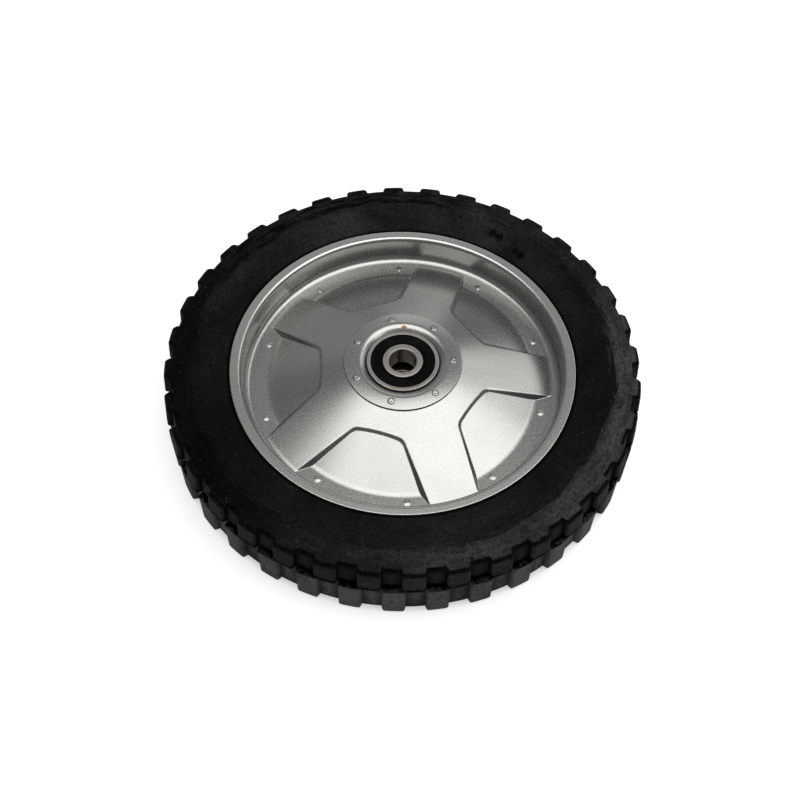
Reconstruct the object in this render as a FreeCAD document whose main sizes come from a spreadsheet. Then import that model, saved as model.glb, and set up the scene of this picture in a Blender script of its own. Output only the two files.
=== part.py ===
import FreeCAD, Part
import os
import Sketcher

# Lawn mower wheel with a moulded tyre on a two-piece pressed steel rim.
# Two sealed ball bearings sit in a flanged hub sleeve that is welded to the front rim.
# The wheel axis is Z, the star face looks along +Z and one spoke lies on +X.
# The origin is on the axis, halfway across the tyre. All sizes are in millimetres and degrees.

doc = FreeCAD.newDocument("MowerWheel")
sheet = doc.addObject("Spreadsheet::Sheet", "size")

SIZES = [
    # Tyre
    ("tread_radius", 103.9, "tread face at the middle of the tyre"),
    ("tyre_half_width", 16.0, "sidewall ridge, from the middle of the tyre"),
    ("tread_crown", 0.9, "fall of the tread face towards its front edge"),
    ("edge_bevel_depth", 1.8, "bevel between tread and front shoulder, radial"),
    ("edge_bevel_height", 1.6, "same bevel, along the axis"),
    ("rear_edge_fall", 0.15, "fall of the tread face towards its rear edge"),
    ("rear_edge_bevel", 0.4, "bevel between tread and rear shoulder"),
    ("shoulder_band", 10.0, "radial width of the shoulder band"),
    ("shoulder_fall", 0.6, "fall of the shoulder band below the ridge"),
    ("tread_split_height", 2.6, "line where the two rows of blocks meet"),
    ("tread_block_count", 36, "blocks in one row"),
    ("tread_block_angle", 5.25, "width of one block, degrees"),
    ("tread_turn", 0.92, "turn of the front row from the spoke"),
    ("rear_row_turn", 0.57, "turn of the rear row past the half step"),
    ("tread_depth", 2.4, "depth of the pockets between blocks"),
    ("tyre_clearance", 0.1, "rubber to rim, all round the seat"),
    ("lip_gap", 0.3, "rubber to the edge of the rim lip"),
    ("bead_chamfer", 1.2, "bevel of the rubber under the lip"),
    # Rim, both pieces
    ("rim_sheet", 1.2, "sheet thickness of both pressings"),
    ("lip_radius", 75.0, "outer edge of the lip"),
    ("lip_width", 4.6, "lip from its edge to the wall"),
    ("lip_height", 13.7, "outer face of the lip, from the middle"),
    ("lip_bend", 1.5, "visible rounding from wall to lip"),
    ("lip_edge_round", 0.4, "rounding of the cut edge"),
    ("wall_lean", 1.1, "wall foot to wall top, radial"),
    ("foot_bend", 2.5, "rounding from flat ring to wall"),
    ("rear_ring_width", 9.8, "flat ring of the rear pressing"),
    # Star of the front rim
    ("spoke_count", 5, "spokes and panels"),
    ("land_margin", 0.3, "flat seat past the hub flange"),
    ("disc_hole_clearance", 0.88, "hole of the disc around the hub sleeve"),
    ("spoke_fade_gap", 1.0, "end of the spokes to the foot bend"),
    ("flat_ring_width", 7.8, "flat ring between panels and foot bend"),
    ("panel_edge_distance", 35.95, "straight inner panel edge from the axis"),
    ("panel_step", 0.83, "step from star to panel at that edge"),
    ("panel_corner_round", 1.2, "rounding of the inner panel corners"),
    ("spoke_root_half", 12.8, "half width of a spoke at its root"),
    ("spoke_end_half", 10.2, "half width of a spoke at its end"),
    ("star_draft", 40.0, "lean of the pressed step from upright"),
    ("rim_weld_inset", 4.3, "weld dimples inside the foot bend"),
    ("rim_weld_angle", 18.2, "dimple to the middle of its panel"),
    ("rim_weld_radius", 1.6, "radius of a dimple"),
    ("rim_weld_rise", 0.5, "height of a dimple"),
    # Hub sleeve
    ("flange_radius", 25.7, "outer edge of the hub flange"),
    ("flange_height", 15.2, "front face of the flange at its edge, from the middle"),
    ("flange_lean", 6.3, "rise of the flange face towards the bearing, degrees"),
    ("flange_sheet", 1.1, "flange thickness at its edge"),
    ("flange_roll", 3.5, "rounding from flange into bearing seat"),
    ("flange_edge_round", 0.5, "rounding of the outer flange edge"),
    ("sleeve_wall", 1.5, "wall of the sleeve around the bearings"),
    ("sleeve_bend", 1.6, "rounding behind the flange"),
    ("sleeve_overhang", 0.5, "sleeve past the rear bearing"),
    ("stop_step", 1.7, "stop rib height inside the seat"),
    ("hub_weld_count", 7, "weld dimples on the flange"),
    ("hub_weld_inset", 3.6, "weld dimples inside the flange edge"),
    ("hub_weld_turn", 101.25, "turn of the first dimple"),
    ("hub_weld_radius", 1.5, "radius of a dimple"),
    ("hub_weld_rise", 0.35, "height of a dimple"),
    # Bearings
    ("bearing_bore_radius", 6.0, "axle seat"),
    ("bearing_outer_radius", 16.0, "outside of the outer ring"),
    ("bearing_width", 10.0, "width of one bearing"),
    ("bearing_chamfer", 0.6, "ring corners"),
    ("bearing_seat_clearance", 0.02, "outer ring in the sleeve, radial"),
    ("bearing_recess", 0.2, "front bearing below the flange edge"),
    ("bearing_space", 6.5, "space between the two bearings"),
    ("ball_count", 7, "balls in one bearing"),
    ("ball_radius", 2.976, "one ball"),
    ("race_clearance", 0.05, "ball to raceway"),
    ("inner_land_offset", 2.27, "ball circle to the inner ring's shoulder"),
    ("outer_land_offset", 2.2, "ball circle to the outer ring's shoulder"),
    ("seal_shelf", 0.87, "shoulder of the outer ring that a seal rests on"),
    ("seal_recess", 0.25, "seal below the ring faces"),
    ("seal_thickness", 0.7, "one seal"),
    ("seal_edge_clearance", 0.03, "seal in its recess"),
    ("seal_lip_clearance", 0.1, "seal lip to the inner ring"),
    ("seal_lip_width", 1.0, "thinner lip along the inner edge"),
    ("seal_lip_step", 0.2, "lip below the seal face"),
    ("cage_sheet", 0.4, "thickness of a cage half"),
    ("cage_width", 2.5, "radial width of the cage"),
    ("cage_clearance", 0.1, "ball to cage pocket"),
]

for row, (alias, value, meaning) in enumerate(SIZES, start=1):
    sheet.set("A%d" % row, meaning)
    sheet.set("B%d" % row, str(value))
    sheet.setAlias("B%d" % row, alias)
doc.recompute()


def number(expression):
    """Value of an expression on the size sheet."""
    return float(sheet.evalExpression(expression))


def new_body(label):
    """Empty body whose label is the name of its sub-part."""
    body = doc.addObject("PartDesign::Body", label)
    body.Label = label
    return body


def origin_feature(body, role):
    """Plane or axis of the body's own origin."""
    return [item for item in body.Origin.OriginFeatures if item.Role == role][0]


def new_sketch(body, name, plane="XZ_Plane"):
    """Sketch on one of the body's own planes."""
    sketch = body.newObject("Sketcher::SketchObject", name)
    sketch.AttachmentSupport = [(origin_feature(body, plane), "")]
    sketch.MapMode = "FlatFace"
    return sketch


def hold_point(sketch, line, point, across, upward):
    """Ties one end of a sketch line to two expressions, measured from the sketch origin."""
    for kind, expression in (("DistanceX", across), ("DistanceY", upward)):
        rule = Sketcher.Constraint(kind, -1, 1, line, point, number(expression))
        index = sketch.addConstraint(rule)
        label = "%s_%d_%d" % (kind, line, point)
        sketch.renameConstraint(index, label)
        sketch.setExpression("Constraints." + label, expression)


def outline(body, name, corners, plane="XZ_Plane"):
    """Closed outline with straight sides; each corner is a pair of expressions."""
    sketch = new_sketch(body, name, plane)
    places = [FreeCAD.Vector(number(across), number(upward), 0) for across, upward in corners]
    count = len(corners)
    for index in range(count):
        side = Part.LineSegment(places[index], places[(index + 1) % count])
        sketch.addGeometry(side, False)
    for index in range(count):
        sketch.addConstraint(Sketcher.Constraint("Coincident", index, 2, (index + 1) % count, 1))
    for index, (across, upward) in enumerate(corners):
        hold_point(sketch, index, 1, across, upward)
    return sketch


def circle_outline(body, name, across, upward, radius, plane="XZ_Plane"):
    """Full circle with its centre and radius tied to expressions."""
    sketch = new_sketch(body, name, plane)
    centre = FreeCAD.Vector(number(across), number(upward), 0)
    circle = Part.Circle(centre, FreeCAD.Vector(0, 0, 1), number(radius))
    sketch.addGeometry(circle, False)
    hold_point(sketch, 0, 3, across, upward)
    index = sketch.addConstraint(Sketcher.Constraint("Radius", 0, number(radius)))
    sketch.renameConstraint(index, "radius")
    sketch.setExpression("Constraints.radius", radius)
    return sketch


def revolve(body, sketch, name, kind="PartDesign::Revolution", angle="360"):
    """Turns an outline about the upright axis of its sketch, evenly to both sides."""
    feature = body.newObject(kind, name)
    feature.Profile = sketch
    feature.ReferenceAxis = (sketch, ["V_Axis"])
    feature.Midplane = True
    feature.setExpression("Angle", angle)
    doc.recompute()
    return feature


def repeat(body, features, name, count):
    """Repeats features evenly around the wheel axis."""
    pattern = body.newObject("PartDesign::PolarPattern", name)
    pattern.Originals = features
    pattern.Axis = (origin_feature(body, "Z_Axis"), [""])
    pattern.Angle = 360
    pattern.setExpression("Occurrences", count)
    body.Tip = pattern
    doc.recompute()
    return pattern


def swing(sketch, angle, distance="0"):
    """Turns an upright sketch about the wheel axis and moves it out from that axis."""
    sketch.AttachmentOffset = FreeCAD.Placement(
        FreeCAD.Vector(), FreeCAD.Rotation(FreeCAD.Vector(0, 1, 0), 1.0))
    sketch.setExpression("AttachmentOffset.Rotation.Angle", angle)
    sketch.setExpression("AttachmentOffset.Base.x", "(%s) * cos((%s) * 1 deg)" % (distance, angle))
    sketch.setExpression("AttachmentOffset.Base.z", "-(%s) * sin((%s) * 1 deg)" % (distance, angle))


def round_rings(body, feature, name, radius, places):
    """Rounds the ring edges found at the given radius and height expressions."""
    wanted = [(number(across), number(upward)) for across, upward in places]
    names = []
    for index, edge in enumerate(feature.Shape.Edges, start=1):
        if not isinstance(edge.Curve, Part.Circle):
            continue
        for across, upward in wanted:
            same_radius = abs(edge.Curve.Radius - across) < 1e-4
            same_height = abs(edge.Curve.Center.z - upward) < 1e-4
            if same_radius and same_height:
                names.append("Edge%d" % index)
    fillet = body.newObject("PartDesign::Fillet", name)
    fillet.Base = (feature, names)
    fillet.setExpression("Radius", radius)
    doc.recompute()
    return fillet


def round_corners(body, feature, name, radius, reach):
    """Rounds the leaning inner corners of a star, those that start inside the given radius."""
    limit = number(reach)
    names = []
    for index, side in enumerate(feature.Shape.Edges, start=1):
        low, high = sorted((vertex.Point for vertex in side.Vertexes), key=lambda point: point.z)
        leaning = high.z - low.z > number(radius)
        inside = FreeCAD.Vector(low.x, low.y, 0).Length < limit
        if leaning and inside:
            names.append("Edge%d" % index)
    fillet = body.newObject("PartDesign::Fillet", name)
    fillet.Base = (feature, names)
    fillet.setExpression("Radius", radius)
    doc.recompute()
    return fillet


def dome(body, name, angle, distance, base, radius, rise, root):
    """Small round dimple that stands on a flat face and reaches a little way into it."""
    sketch = new_sketch(body, name + "Outline")
    floor = "%s - %s" % (base, root)
    crown = "%s + %s" % (base, rise)
    wide = number(radius)
    high = number(rise)
    ball = (wide * wide + high * high) / (2 * high)
    top = FreeCAD.Vector(0, number(crown), 0)
    rim = FreeCAD.Vector(wide, number(base), 0)
    low = FreeCAD.Vector(wide, number(floor), 0)
    axis_low = FreeCAD.Vector(0, number(floor), 0)
    centre = FreeCAD.Vector(0, top.y - ball, 0)
    start = FreeCAD.Vector(1, 0, 0).getAngle(rim - centre)
    full = Part.Circle(centre, FreeCAD.Vector(0, 0, 1), ball)
    quarter = FreeCAD.Vector(1, 0, 0).getAngle(FreeCAD.Vector(0, 1, 0))
    sketch.addGeometry(Part.LineSegment(axis_low, low), False)
    sketch.addGeometry(Part.LineSegment(low, rim), False)
    sketch.addGeometry(Part.ArcOfCircle(full, start, quarter), False)
    sketch.addGeometry(Part.LineSegment(top, axis_low), False)
    for rule in ((0, 2, 1, 1), (1, 2, 2, 1), (2, 2, 3, 1), (3, 2, 0, 1)):
        sketch.addConstraint(Sketcher.Constraint("Coincident", *rule))
    sketch.addConstraint(Sketcher.Constraint("PointOnObject", 2, 3, -2))
    hold_point(sketch, 0, 1, "0", floor)
    hold_point(sketch, 1, 1, radius, floor)
    hold_point(sketch, 1, 2, radius, base)
    hold_point(sketch, 3, 1, "0", crown)
    swing(sketch, angle, distance)
    return revolve(body, sketch, name)


def join(kind, name, shapes):
    """Joins, cuts or intersects two finished shapes."""
    feature = doc.addObject(kind, name)
    feature.Base = shapes[0]
    feature.Tool = shapes[1]
    doc.recompute()
    return feature


# Places that several pieces share. The two rim pressings meet face to face at height zero.
ring_face = "size.rim_sheet"
land = "(size.flange_height - size.flange_sheet)"
land_radius = "(size.flange_radius + size.land_margin)"
wall_top = "(size.lip_radius - size.lip_width)"
wall_foot = "(%s - size.wall_lean)" % wall_top
wall_top_back = "(%s + size.rim_sheet)" % wall_top
wall_foot_back = "(%s + size.rim_sheet)" % wall_foot
lip_back = "(size.lip_height - size.rim_sheet)"
flat_end = "(%s - size.foot_bend)" % wall_foot
fade_radius = "(%s - size.spoke_fade_gap)" % flat_end
panel_arc = "(%s - size.flat_ring_width)" % flat_end
star_slope = "((%s - %s) / (%s - %s))" % (land, ring_face, fade_radius, land_radius)
panel_edge_rise = "(%s - size.panel_step - %s - %s * (size.panel_edge_distance - %s))" % (
    land, ring_face, star_slope, land_radius)
seat_radius = "(size.bearing_outer_radius + size.bearing_seat_clearance)"
sleeve_radius = "(%s + size.sleeve_wall)" % seat_radius
disc_hole = "(%s + size.sleeve_bend + size.disc_hole_clearance)" % sleeve_radius

# Tyre
# The rubber is one ring around the rim. The tread is cut into two staggered rows of blocks.
tyre = new_body("tyre")
seat_foot = wall_foot_back + " + size.tyre_clearance"
seat_top = wall_top_back + " + size.tyre_clearance"
seat_height = "(%s - size.tyre_clearance)" % lip_back
edge_radius = "(size.tread_radius - size.tread_crown)"
shoulder_radius = "(%s - size.edge_bevel_depth)" % edge_radius
shoulder_height = "(size.tyre_half_width - size.shoulder_fall)"
edge_height = "(%s - size.edge_bevel_height)" % shoulder_height
rear_edge_radius = "(size.tread_radius - size.rear_edge_fall)"
rear_shoulder_radius = "(%s - size.rear_edge_bevel)" % rear_edge_radius
rear_edge_height = "(%s - size.rear_edge_bevel)" % shoulder_height
front_side = [
    (seat_top, seat_height + " - size.bead_chamfer"),
    (seat_top + " + size.bead_chamfer", seat_height),
    ("size.lip_radius + size.lip_gap", seat_height),
    ("size.lip_radius + size.lip_gap", "size.lip_height - size.lip_gap"),
    (shoulder_radius + " - size.shoulder_band", "size.tyre_half_width"),
]
tread = [
    (shoulder_radius, shoulder_height),
    (edge_radius, edge_height),
    ("size.tread_radius", "size.tread_split_height"),
    (rear_edge_radius, "-" + rear_edge_height),
    (rear_shoulder_radius, "-" + shoulder_height),
]
rear_side = [(across, "-(%s)" % upward) for across, upward in reversed(front_side)]
section = outline(tyre, "TyreSection", [(seat_foot, "0")] + front_side + tread + rear_side)
revolve(tyre, section, "TyreRing")

block_step = "360 / size.tread_block_count"
pocket_angle = "%s - size.tread_block_angle" % block_step
front_turn = "size.tread_turn + %s / 2" % block_step
pocket_floor = "size.tread_radius - size.tread_depth"
pocket_edge = edge_radius + " - size.tread_depth"
pocket_mouth = shoulder_radius + " - size.tread_depth"
rear_pocket_edge = rear_edge_radius + " - size.tread_depth"
rear_pocket_mouth = rear_shoulder_radius + " - size.tread_depth"
pocket_out = "size.tread_radius + size.tread_depth"
pocket_top = "size.tyre_half_width + size.tread_depth"
front_pocket = outline(tyre, "FrontPocketOutline", [
    (pocket_floor, "size.tread_split_height"),
    (pocket_out, "size.tread_split_height"),
    (pocket_out, pocket_top),
    (pocket_mouth, pocket_top),
    (pocket_mouth, shoulder_height),
    (pocket_edge, edge_height),
])
swing(front_pocket, front_turn)
front_cut = revolve(tyre, front_pocket, "FrontPocket", "PartDesign::Groove", pocket_angle)
repeat(tyre, [front_cut], "FrontPockets", "size.tread_block_count")

rear_pocket = outline(tyre, "RearPocketOutline", [
    (pocket_floor, "size.tread_split_height"),
    (pocket_out, "size.tread_split_height"),
    (pocket_out, "-(%s)" % pocket_top),
    (rear_pocket_mouth, "-(%s)" % pocket_top),
    (rear_pocket_mouth, "-" + shoulder_height),
    (rear_pocket_edge, "-" + rear_edge_height),
])
swing(rear_pocket, "size.tread_turn + size.rear_row_turn")
rear_cut = revolve(tyre, rear_pocket, "RearPocket", "PartDesign::Groove", pocket_angle)
repeat(tyre, [rear_cut], "RearPockets", "size.tread_block_count")


# Front rim
# One sheet: a star pressed forward between five panels, a flat ring, the wall and the lip.
# The sheet is what lies between the pressed face and the same face lowered by its thickness.
def pressed_block(name, drop):
    """Solid block under the pressed face, lowered by the given amount."""
    floor = "-3 * size.rim_sheet" + drop
    face = ring_face + drop
    panel_top = face + " + " + panel_edge_rise
    panels = new_body(name + "Panels")
    panel_outline = outline(panels, name + "PanelOutline", [
        (disc_hole, floor),
        (flat_end, floor),
        (flat_end, face),
        (panel_arc, face),
        ("size.panel_edge_distance", panel_top),
        (disc_hole, panel_top),
    ])
    revolve(panels, panel_outline, name + "PanelRing")

    cone = new_body(name + "Cone")
    cone_outline = outline(cone, name + "ConeOutline", [
        (disc_hole, floor),
        (fade_radius, floor),
        (fade_radius, face),
        (land_radius, land + drop),
        (disc_hole, land + drop),
    ])
    revolve(cone, cone_outline, name + "ConeRing")

    # The step leans, so the star is drawn wider at the flat ring than at the height of its edges.
    lean = "tan(size.star_draft * 1 deg)"
    half_turn = "180 deg / size.spoke_count"
    edge_low = "(size.panel_edge_distance + %s * %s)" % (panel_edge_rise, lean)
    root_low = "(size.spoke_root_half + %s * %s)" % (panel_edge_rise, lean)
    root_place = "((size.panel_edge_distance - size.spoke_root_half * sin(%s)) / cos(%s))" % (
        half_turn, half_turn)
    end_low = "size.spoke_end_half"
    axis_low = "(%s + (%s - %s) * %s / (%s - %s))" % (
        root_low, root_low, end_low, root_place, fade_radius, root_place)
    star = new_body(name + "Star")
    corner = "%s / cos(%s)" % (edge_low, half_turn)
    corners = []
    for index in range(int(number("size.spoke_count"))):
        turn = "%d * 360 deg / size.spoke_count" % index
        corners.append(("%s * cos(%s)" % (corner, turn), "%s * sin(%s)" % (corner, turn)))
    middle = outline(star, name + "MiddleOutline", corners, "XY_Plane")
    spoke = outline(star, name + "SpokeOutline", [
        ("0", "-" + axis_low),
        (fade_radius, "-" + end_low),
        (fade_radius, end_low),
        ("0", axis_low),
    ], "XY_Plane")
    pads = []
    for sketch, label in ((middle, "Middle"), (spoke, "Spoke")):
        sketch.setExpression("AttachmentOffset.Base.z", face)
        pad = star.newObject("PartDesign::Pad", name + label)
        pad.Profile = sketch
        pad.setExpression("Length", "%s - %s + size.rim_sheet" % (land, ring_face))
        pad.setExpression("TaperAngle", "-size.star_draft")
        doc.recompute()
        pads.append(pad)
    spokes = repeat(star, [pads[1]], name + "Spokes", "size.spoke_count")
    round_corners(star, spokes, name + "Corners", "size.panel_corner_round", panel_arc)
    raised = join("Part::Common", name + "Raised", (star, cone))
    return join("Part::Fuse", name + "Block", (panels, raised))


front_block = pressed_block("Face", "")
back_block = pressed_block("Back", " - size.rim_sheet")
disc = join("Part::Cut", "StarDisc", (front_block, back_block))


def rim_wall(label, inner, sign):
    """Flat ring, wall and lip of one pressing; sign is plus for the front, minus for the rear."""
    body = new_body(label)
    corners = [
        (inner, "0"),
        (wall_foot_back, "0"),
        (wall_top_back, sign + lip_back),
        ("size.lip_radius", sign + lip_back),
        ("size.lip_radius", sign + "size.lip_height"),
        (wall_top, sign + "size.lip_height"),
        (wall_foot, sign + ring_face),
        (inner, sign + ring_face),
    ]
    sketch = outline(body, label + "Section", corners)
    ring = revolve(body, sketch, label + "Ring")
    foot = round_rings(body, ring, label + "Foot", "size.foot_bend", [corners[6]])
    back = round_rings(body, foot, label + "FootBack", "size.foot_bend + size.rim_sheet", [corners[1]])
    bend = round_rings(body, back, label + "LipBend", "size.lip_bend", [corners[5]])
    round_rings(body, bend, label + "LipEdge", "size.lip_edge_round", [corners[4]])
    return body


front_wall = rim_wall("FrontWall", flat_end + " - size.rim_sheet / 2", "")
front_sheet = join("Part::Fuse", "FrontSheet", (disc, front_wall))
front_sheet.Refine = True
front_rim = new_body("front_rim")
front_rim.BaseFeature = front_sheet
doc.recompute()
half_panel = "180 / size.spoke_count"
rim_welds = []
for name, side in (("RimWeldLeft", "+"), ("RimWeldRight", "-")):
    weld_turn = "%s %s size.rim_weld_angle" % (half_panel, side)
    rim_welds.append(dome(front_rim, name, weld_turn, flat_end + " - size.rim_weld_inset", ring_face,
                          "size.rim_weld_radius", "size.rim_weld_rise", "size.rim_sheet / 2"))
repeat(front_rim, rim_welds, "RimWelds", "size.spoke_count")

# Rear rim
# A ring with the same wall and lip, spot welded behind the front rim.
rear_rim = rim_wall("rear_rim", flat_end + " - size.rear_ring_width", "-")

# Hub sleeve
# A flanged sleeve that holds both bearings and keeps them apart with a stop rib.
hub_sleeve = new_body("hub_sleeve")
stop_radius = "(%s - size.stop_step)" % seat_radius
flange_slope = "tan(size.flange_lean * 1 deg)"
flange_crest = "(size.flange_height + (size.flange_radius - %s) * %s)" % (seat_radius, flange_slope)
weld_seat = "(size.flange_height + size.hub_weld_inset * %s)" % flange_slope
stop_front = "(size.flange_height - size.bearing_recess - size.bearing_width)"
stop_rear = "(%s - size.bearing_space)" % stop_front
sleeve_end = "(%s - size.bearing_width - size.sleeve_overhang)" % stop_rear
sleeve_outline = outline(hub_sleeve, "SleeveSection", [
    (seat_radius, sleeve_end),
    (sleeve_radius, sleeve_end),
    (sleeve_radius, land),
    ("size.flange_radius", land),
    ("size.flange_radius", "size.flange_height"),
    (seat_radius, flange_crest),
    (seat_radius, stop_front),
    (stop_radius, stop_front),
    (stop_radius, stop_rear),
    (seat_radius, stop_rear),
])
sleeve = revolve(hub_sleeve, sleeve_outline, "SleeveRing")
roll = round_rings(hub_sleeve, sleeve, "FlangeRoll", "size.flange_roll",
                   [(seat_radius, flange_crest)])
behind = round_rings(hub_sleeve, roll, "SleeveBend", "size.sleeve_bend", [(sleeve_radius, land)])
edge = round_rings(hub_sleeve, behind, "FlangeEdge", "size.flange_edge_round",
                   [("size.flange_radius", "size.flange_height")])
hub_weld = dome(hub_sleeve, "HubWeld", "size.hub_weld_turn", "size.flange_radius - size.hub_weld_inset",
                weld_seat, "size.hub_weld_radius", "size.hub_weld_rise", "size.flange_sheet / 2")
repeat(hub_sleeve, [hub_weld], "HubWelds", "size.hub_weld_count")

# Bearings
# Each bearing is drawn around its own ball plane and then lifted to its place on the axis.
half_width = "size.bearing_width / 2"
seal_face = "(%s - size.seal_recess)" % half_width
seal_back = "(%s - size.seal_thickness)" % seal_face
ball_circle = "((size.bearing_bore_radius + size.bearing_outer_radius) / 2)"
inner_land = "(%s - size.inner_land_offset)" % ball_circle
outer_land = "(%s + size.outer_land_offset)" % ball_circle
seal_seat = "(%s + size.seal_shelf)" % outer_land
seal_outer = seal_seat + " - size.seal_edge_clearance"
seal_inner = inner_land + " + size.seal_lip_clearance"
cage_inner = "(%s - size.cage_width / 2)" % ball_circle
cage_outer = "(%s + size.cage_width / 2)" % ball_circle
race_radius = "size.ball_radius + size.race_clearance"


def lift(piece, height, over=False):
    """Places a bearing piece on the axis, turned over where it faces the other way."""
    if over:
        piece.Placement = FreeCAD.Placement(
            FreeCAD.Vector(), FreeCAD.Rotation(FreeCAD.Vector(1, 0, 0), 180))
    piece.setExpression("Placement.Base.z", height)


def ring_race(body, name):
    """Ball track around the inside or outside of a ring."""
    track = circle_outline(body, name + "Outline", ball_circle, "0", race_radius)
    return revolve(body, track, name, "PartDesign::Groove")


def outer_ring(label):
    body = new_body(label)
    sketch = outline(body, label + "Section", [
        (seal_seat, half_width),
        (seal_seat, seal_back),
        (outer_land, seal_back),
        (outer_land, "-" + seal_back),
        (seal_seat, "-" + seal_back),
        (seal_seat, "-" + half_width),
        ("size.bearing_outer_radius - size.bearing_chamfer", "-" + half_width),
        ("size.bearing_outer_radius", "-(%s - size.bearing_chamfer)" % half_width),
        ("size.bearing_outer_radius", half_width + " - size.bearing_chamfer"),
        ("size.bearing_outer_radius - size.bearing_chamfer", half_width),
    ])
    revolve(body, sketch, label + "Ring")
    ring_race(body, label + "Track")
    return body


def inner_ring(label):
    body = new_body(label)
    sketch = outline(body, label + "Section", [
        ("size.bearing_bore_radius", "-(%s - size.bearing_chamfer)" % half_width),
        ("size.bearing_bore_radius", half_width + " - size.bearing_chamfer"),
        ("size.bearing_bore_radius + size.bearing_chamfer", half_width),
        (inner_land, half_width),
        (inner_land, "-" + half_width),
        ("size.bearing_bore_radius + size.bearing_chamfer", "-" + half_width),
    ])
    revolve(body, sketch, label + "Ring")
    ring_race(body, label + "Track")
    return body


def seal(label):
    body = new_body(label)
    sketch = outline(body, label + "Section", [
        (seal_inner, seal_back),
        (seal_outer, seal_back),
        (seal_outer, seal_face),
        (seal_inner + " + size.seal_lip_width", seal_face),
        (seal_inner + " + size.seal_lip_width", seal_face + " - size.seal_lip_step"),
        (seal_inner, seal_face + " - size.seal_lip_step"),
    ])
    revolve(body, sketch, label + "Ring")
    return body


def cage_half(label):
    """Pressed ribbon: a flat ring with an arch over every ball."""
    body = new_body(label)
    sketch = outline(body, label + "Section", [
        (cage_inner, "0"),
        (cage_outer, "0"),
        (cage_outer, "size.cage_sheet"),
        (cage_inner, "size.cage_sheet"),
    ])
    revolve(body, sketch, label + "Ring")
    pocket = "size.ball_radius + size.cage_clearance"
    for name, radius, kind, past in (("Arch", pocket + " + size.cage_sheet", "PartDesign::Pad", "0"),
                                     ("Pocket", pocket, "PartDesign::Pocket", "size.cage_sheet")):
        half_round = new_sketch(body, label + name + "Outline", "YZ_Plane")
        middle = FreeCAD.Vector(0, 0, 0)
        full = Part.Circle(middle, FreeCAD.Vector(0, 0, 1), number(radius))
        left = FreeCAD.Vector(-number(radius), 0, 0)
        right = FreeCAD.Vector(number(radius), 0, 0)
        straight = FreeCAD.Vector(1, 0, 0).getAngle(FreeCAD.Vector(-1, 0, 0))
        half_round.addGeometry(Part.ArcOfCircle(full, 0, straight), False)
        half_round.addGeometry(Part.LineSegment(left, right), False)
        half_round.addConstraint(Sketcher.Constraint("Coincident", 0, 2, 1, 1))
        half_round.addConstraint(Sketcher.Constraint("Coincident", 1, 2, 0, 1))
        half_round.addConstraint(Sketcher.Constraint("Coincident", 0, 3, -1, 1))
        half_round.addConstraint(Sketcher.Constraint("PointOnObject", 0, 1, -1))
        half_round.addConstraint(Sketcher.Constraint("PointOnObject", 0, 2, -1))
        index = half_round.addConstraint(Sketcher.Constraint("Radius", 0, number(radius)))
        half_round.renameConstraint(index, "radius")
        half_round.setExpression("Constraints.radius", radius)
        half_round.setExpression("AttachmentOffset.Base.z", cage_inner + " - " + past)
        feature = body.newObject(kind, label + name)
        feature.Profile = half_round
        feature.setExpression("Length", "size.cage_width + 2 * " + past)
        if kind == "PartDesign::Pocket":
            feature.Reversed = True
        doc.recompute()
        repeat(body, [feature], label + name + "s", "size.ball_count")
    return body


nodes = [tyre, front_rim, rear_rim, hub_sleeve]
ball_planes = (
    ("front", "%s + %s" % (stop_front, half_width)),
    ("rear", "%s - %s" % (stop_rear, half_width)),
)
for place, height in ball_planes:
    pieces = [
        (outer_ring(place + "_outer_ring"), False),
        (inner_ring(place + "_inner_ring"), False),
        (seal(place + "_seal_outside"), place == "rear"),
        (seal(place + "_seal_inside"), place == "front"),
        (cage_half(place + "_cage_upper"), False),
        (cage_half(place + "_cage_lower"), True),
    ]
    for piece, over in pieces:
        lift(piece, height, over)
        nodes.append(piece)
    for index in range(int(number("size.ball_count"))):
        ball = doc.addObject("Part::Sphere", "%s_ball_%d" % (place, index + 1))
        ball.setExpression("Radius", "size.ball_radius")
        turn = "%d * 360 deg / size.ball_count" % index
        ball.setExpression("Placement.Base.x", "%s * cos(%s)" % (ball_circle, turn))
        ball.setExpression("Placement.Base.y", "%s * sin(%s)" % (ball_circle, turn))
        lift(ball, height)
        nodes.append(ball)
doc.recompute()

for item in doc.Objects:
    if "Invalid" in item.State or "Error" in item.State:
        raise RuntimeError("%s did not build" % item.Label)
os.makedirs("parts", exist_ok=True)
for node in nodes:
    if node.Shape.isNull() or not node.Shape.isValid():
        raise RuntimeError("%s has no valid shape" % node.Label)
    node.Shape.exportStep("parts/%s.step" % node.Label)
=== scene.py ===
import math
from collections import namedtuple

import bmesh
import bpy
from bpy.props import FloatProperty, FloatVectorProperty, IntProperty, PointerProperty
from mathutils import Matrix, Vector


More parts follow.
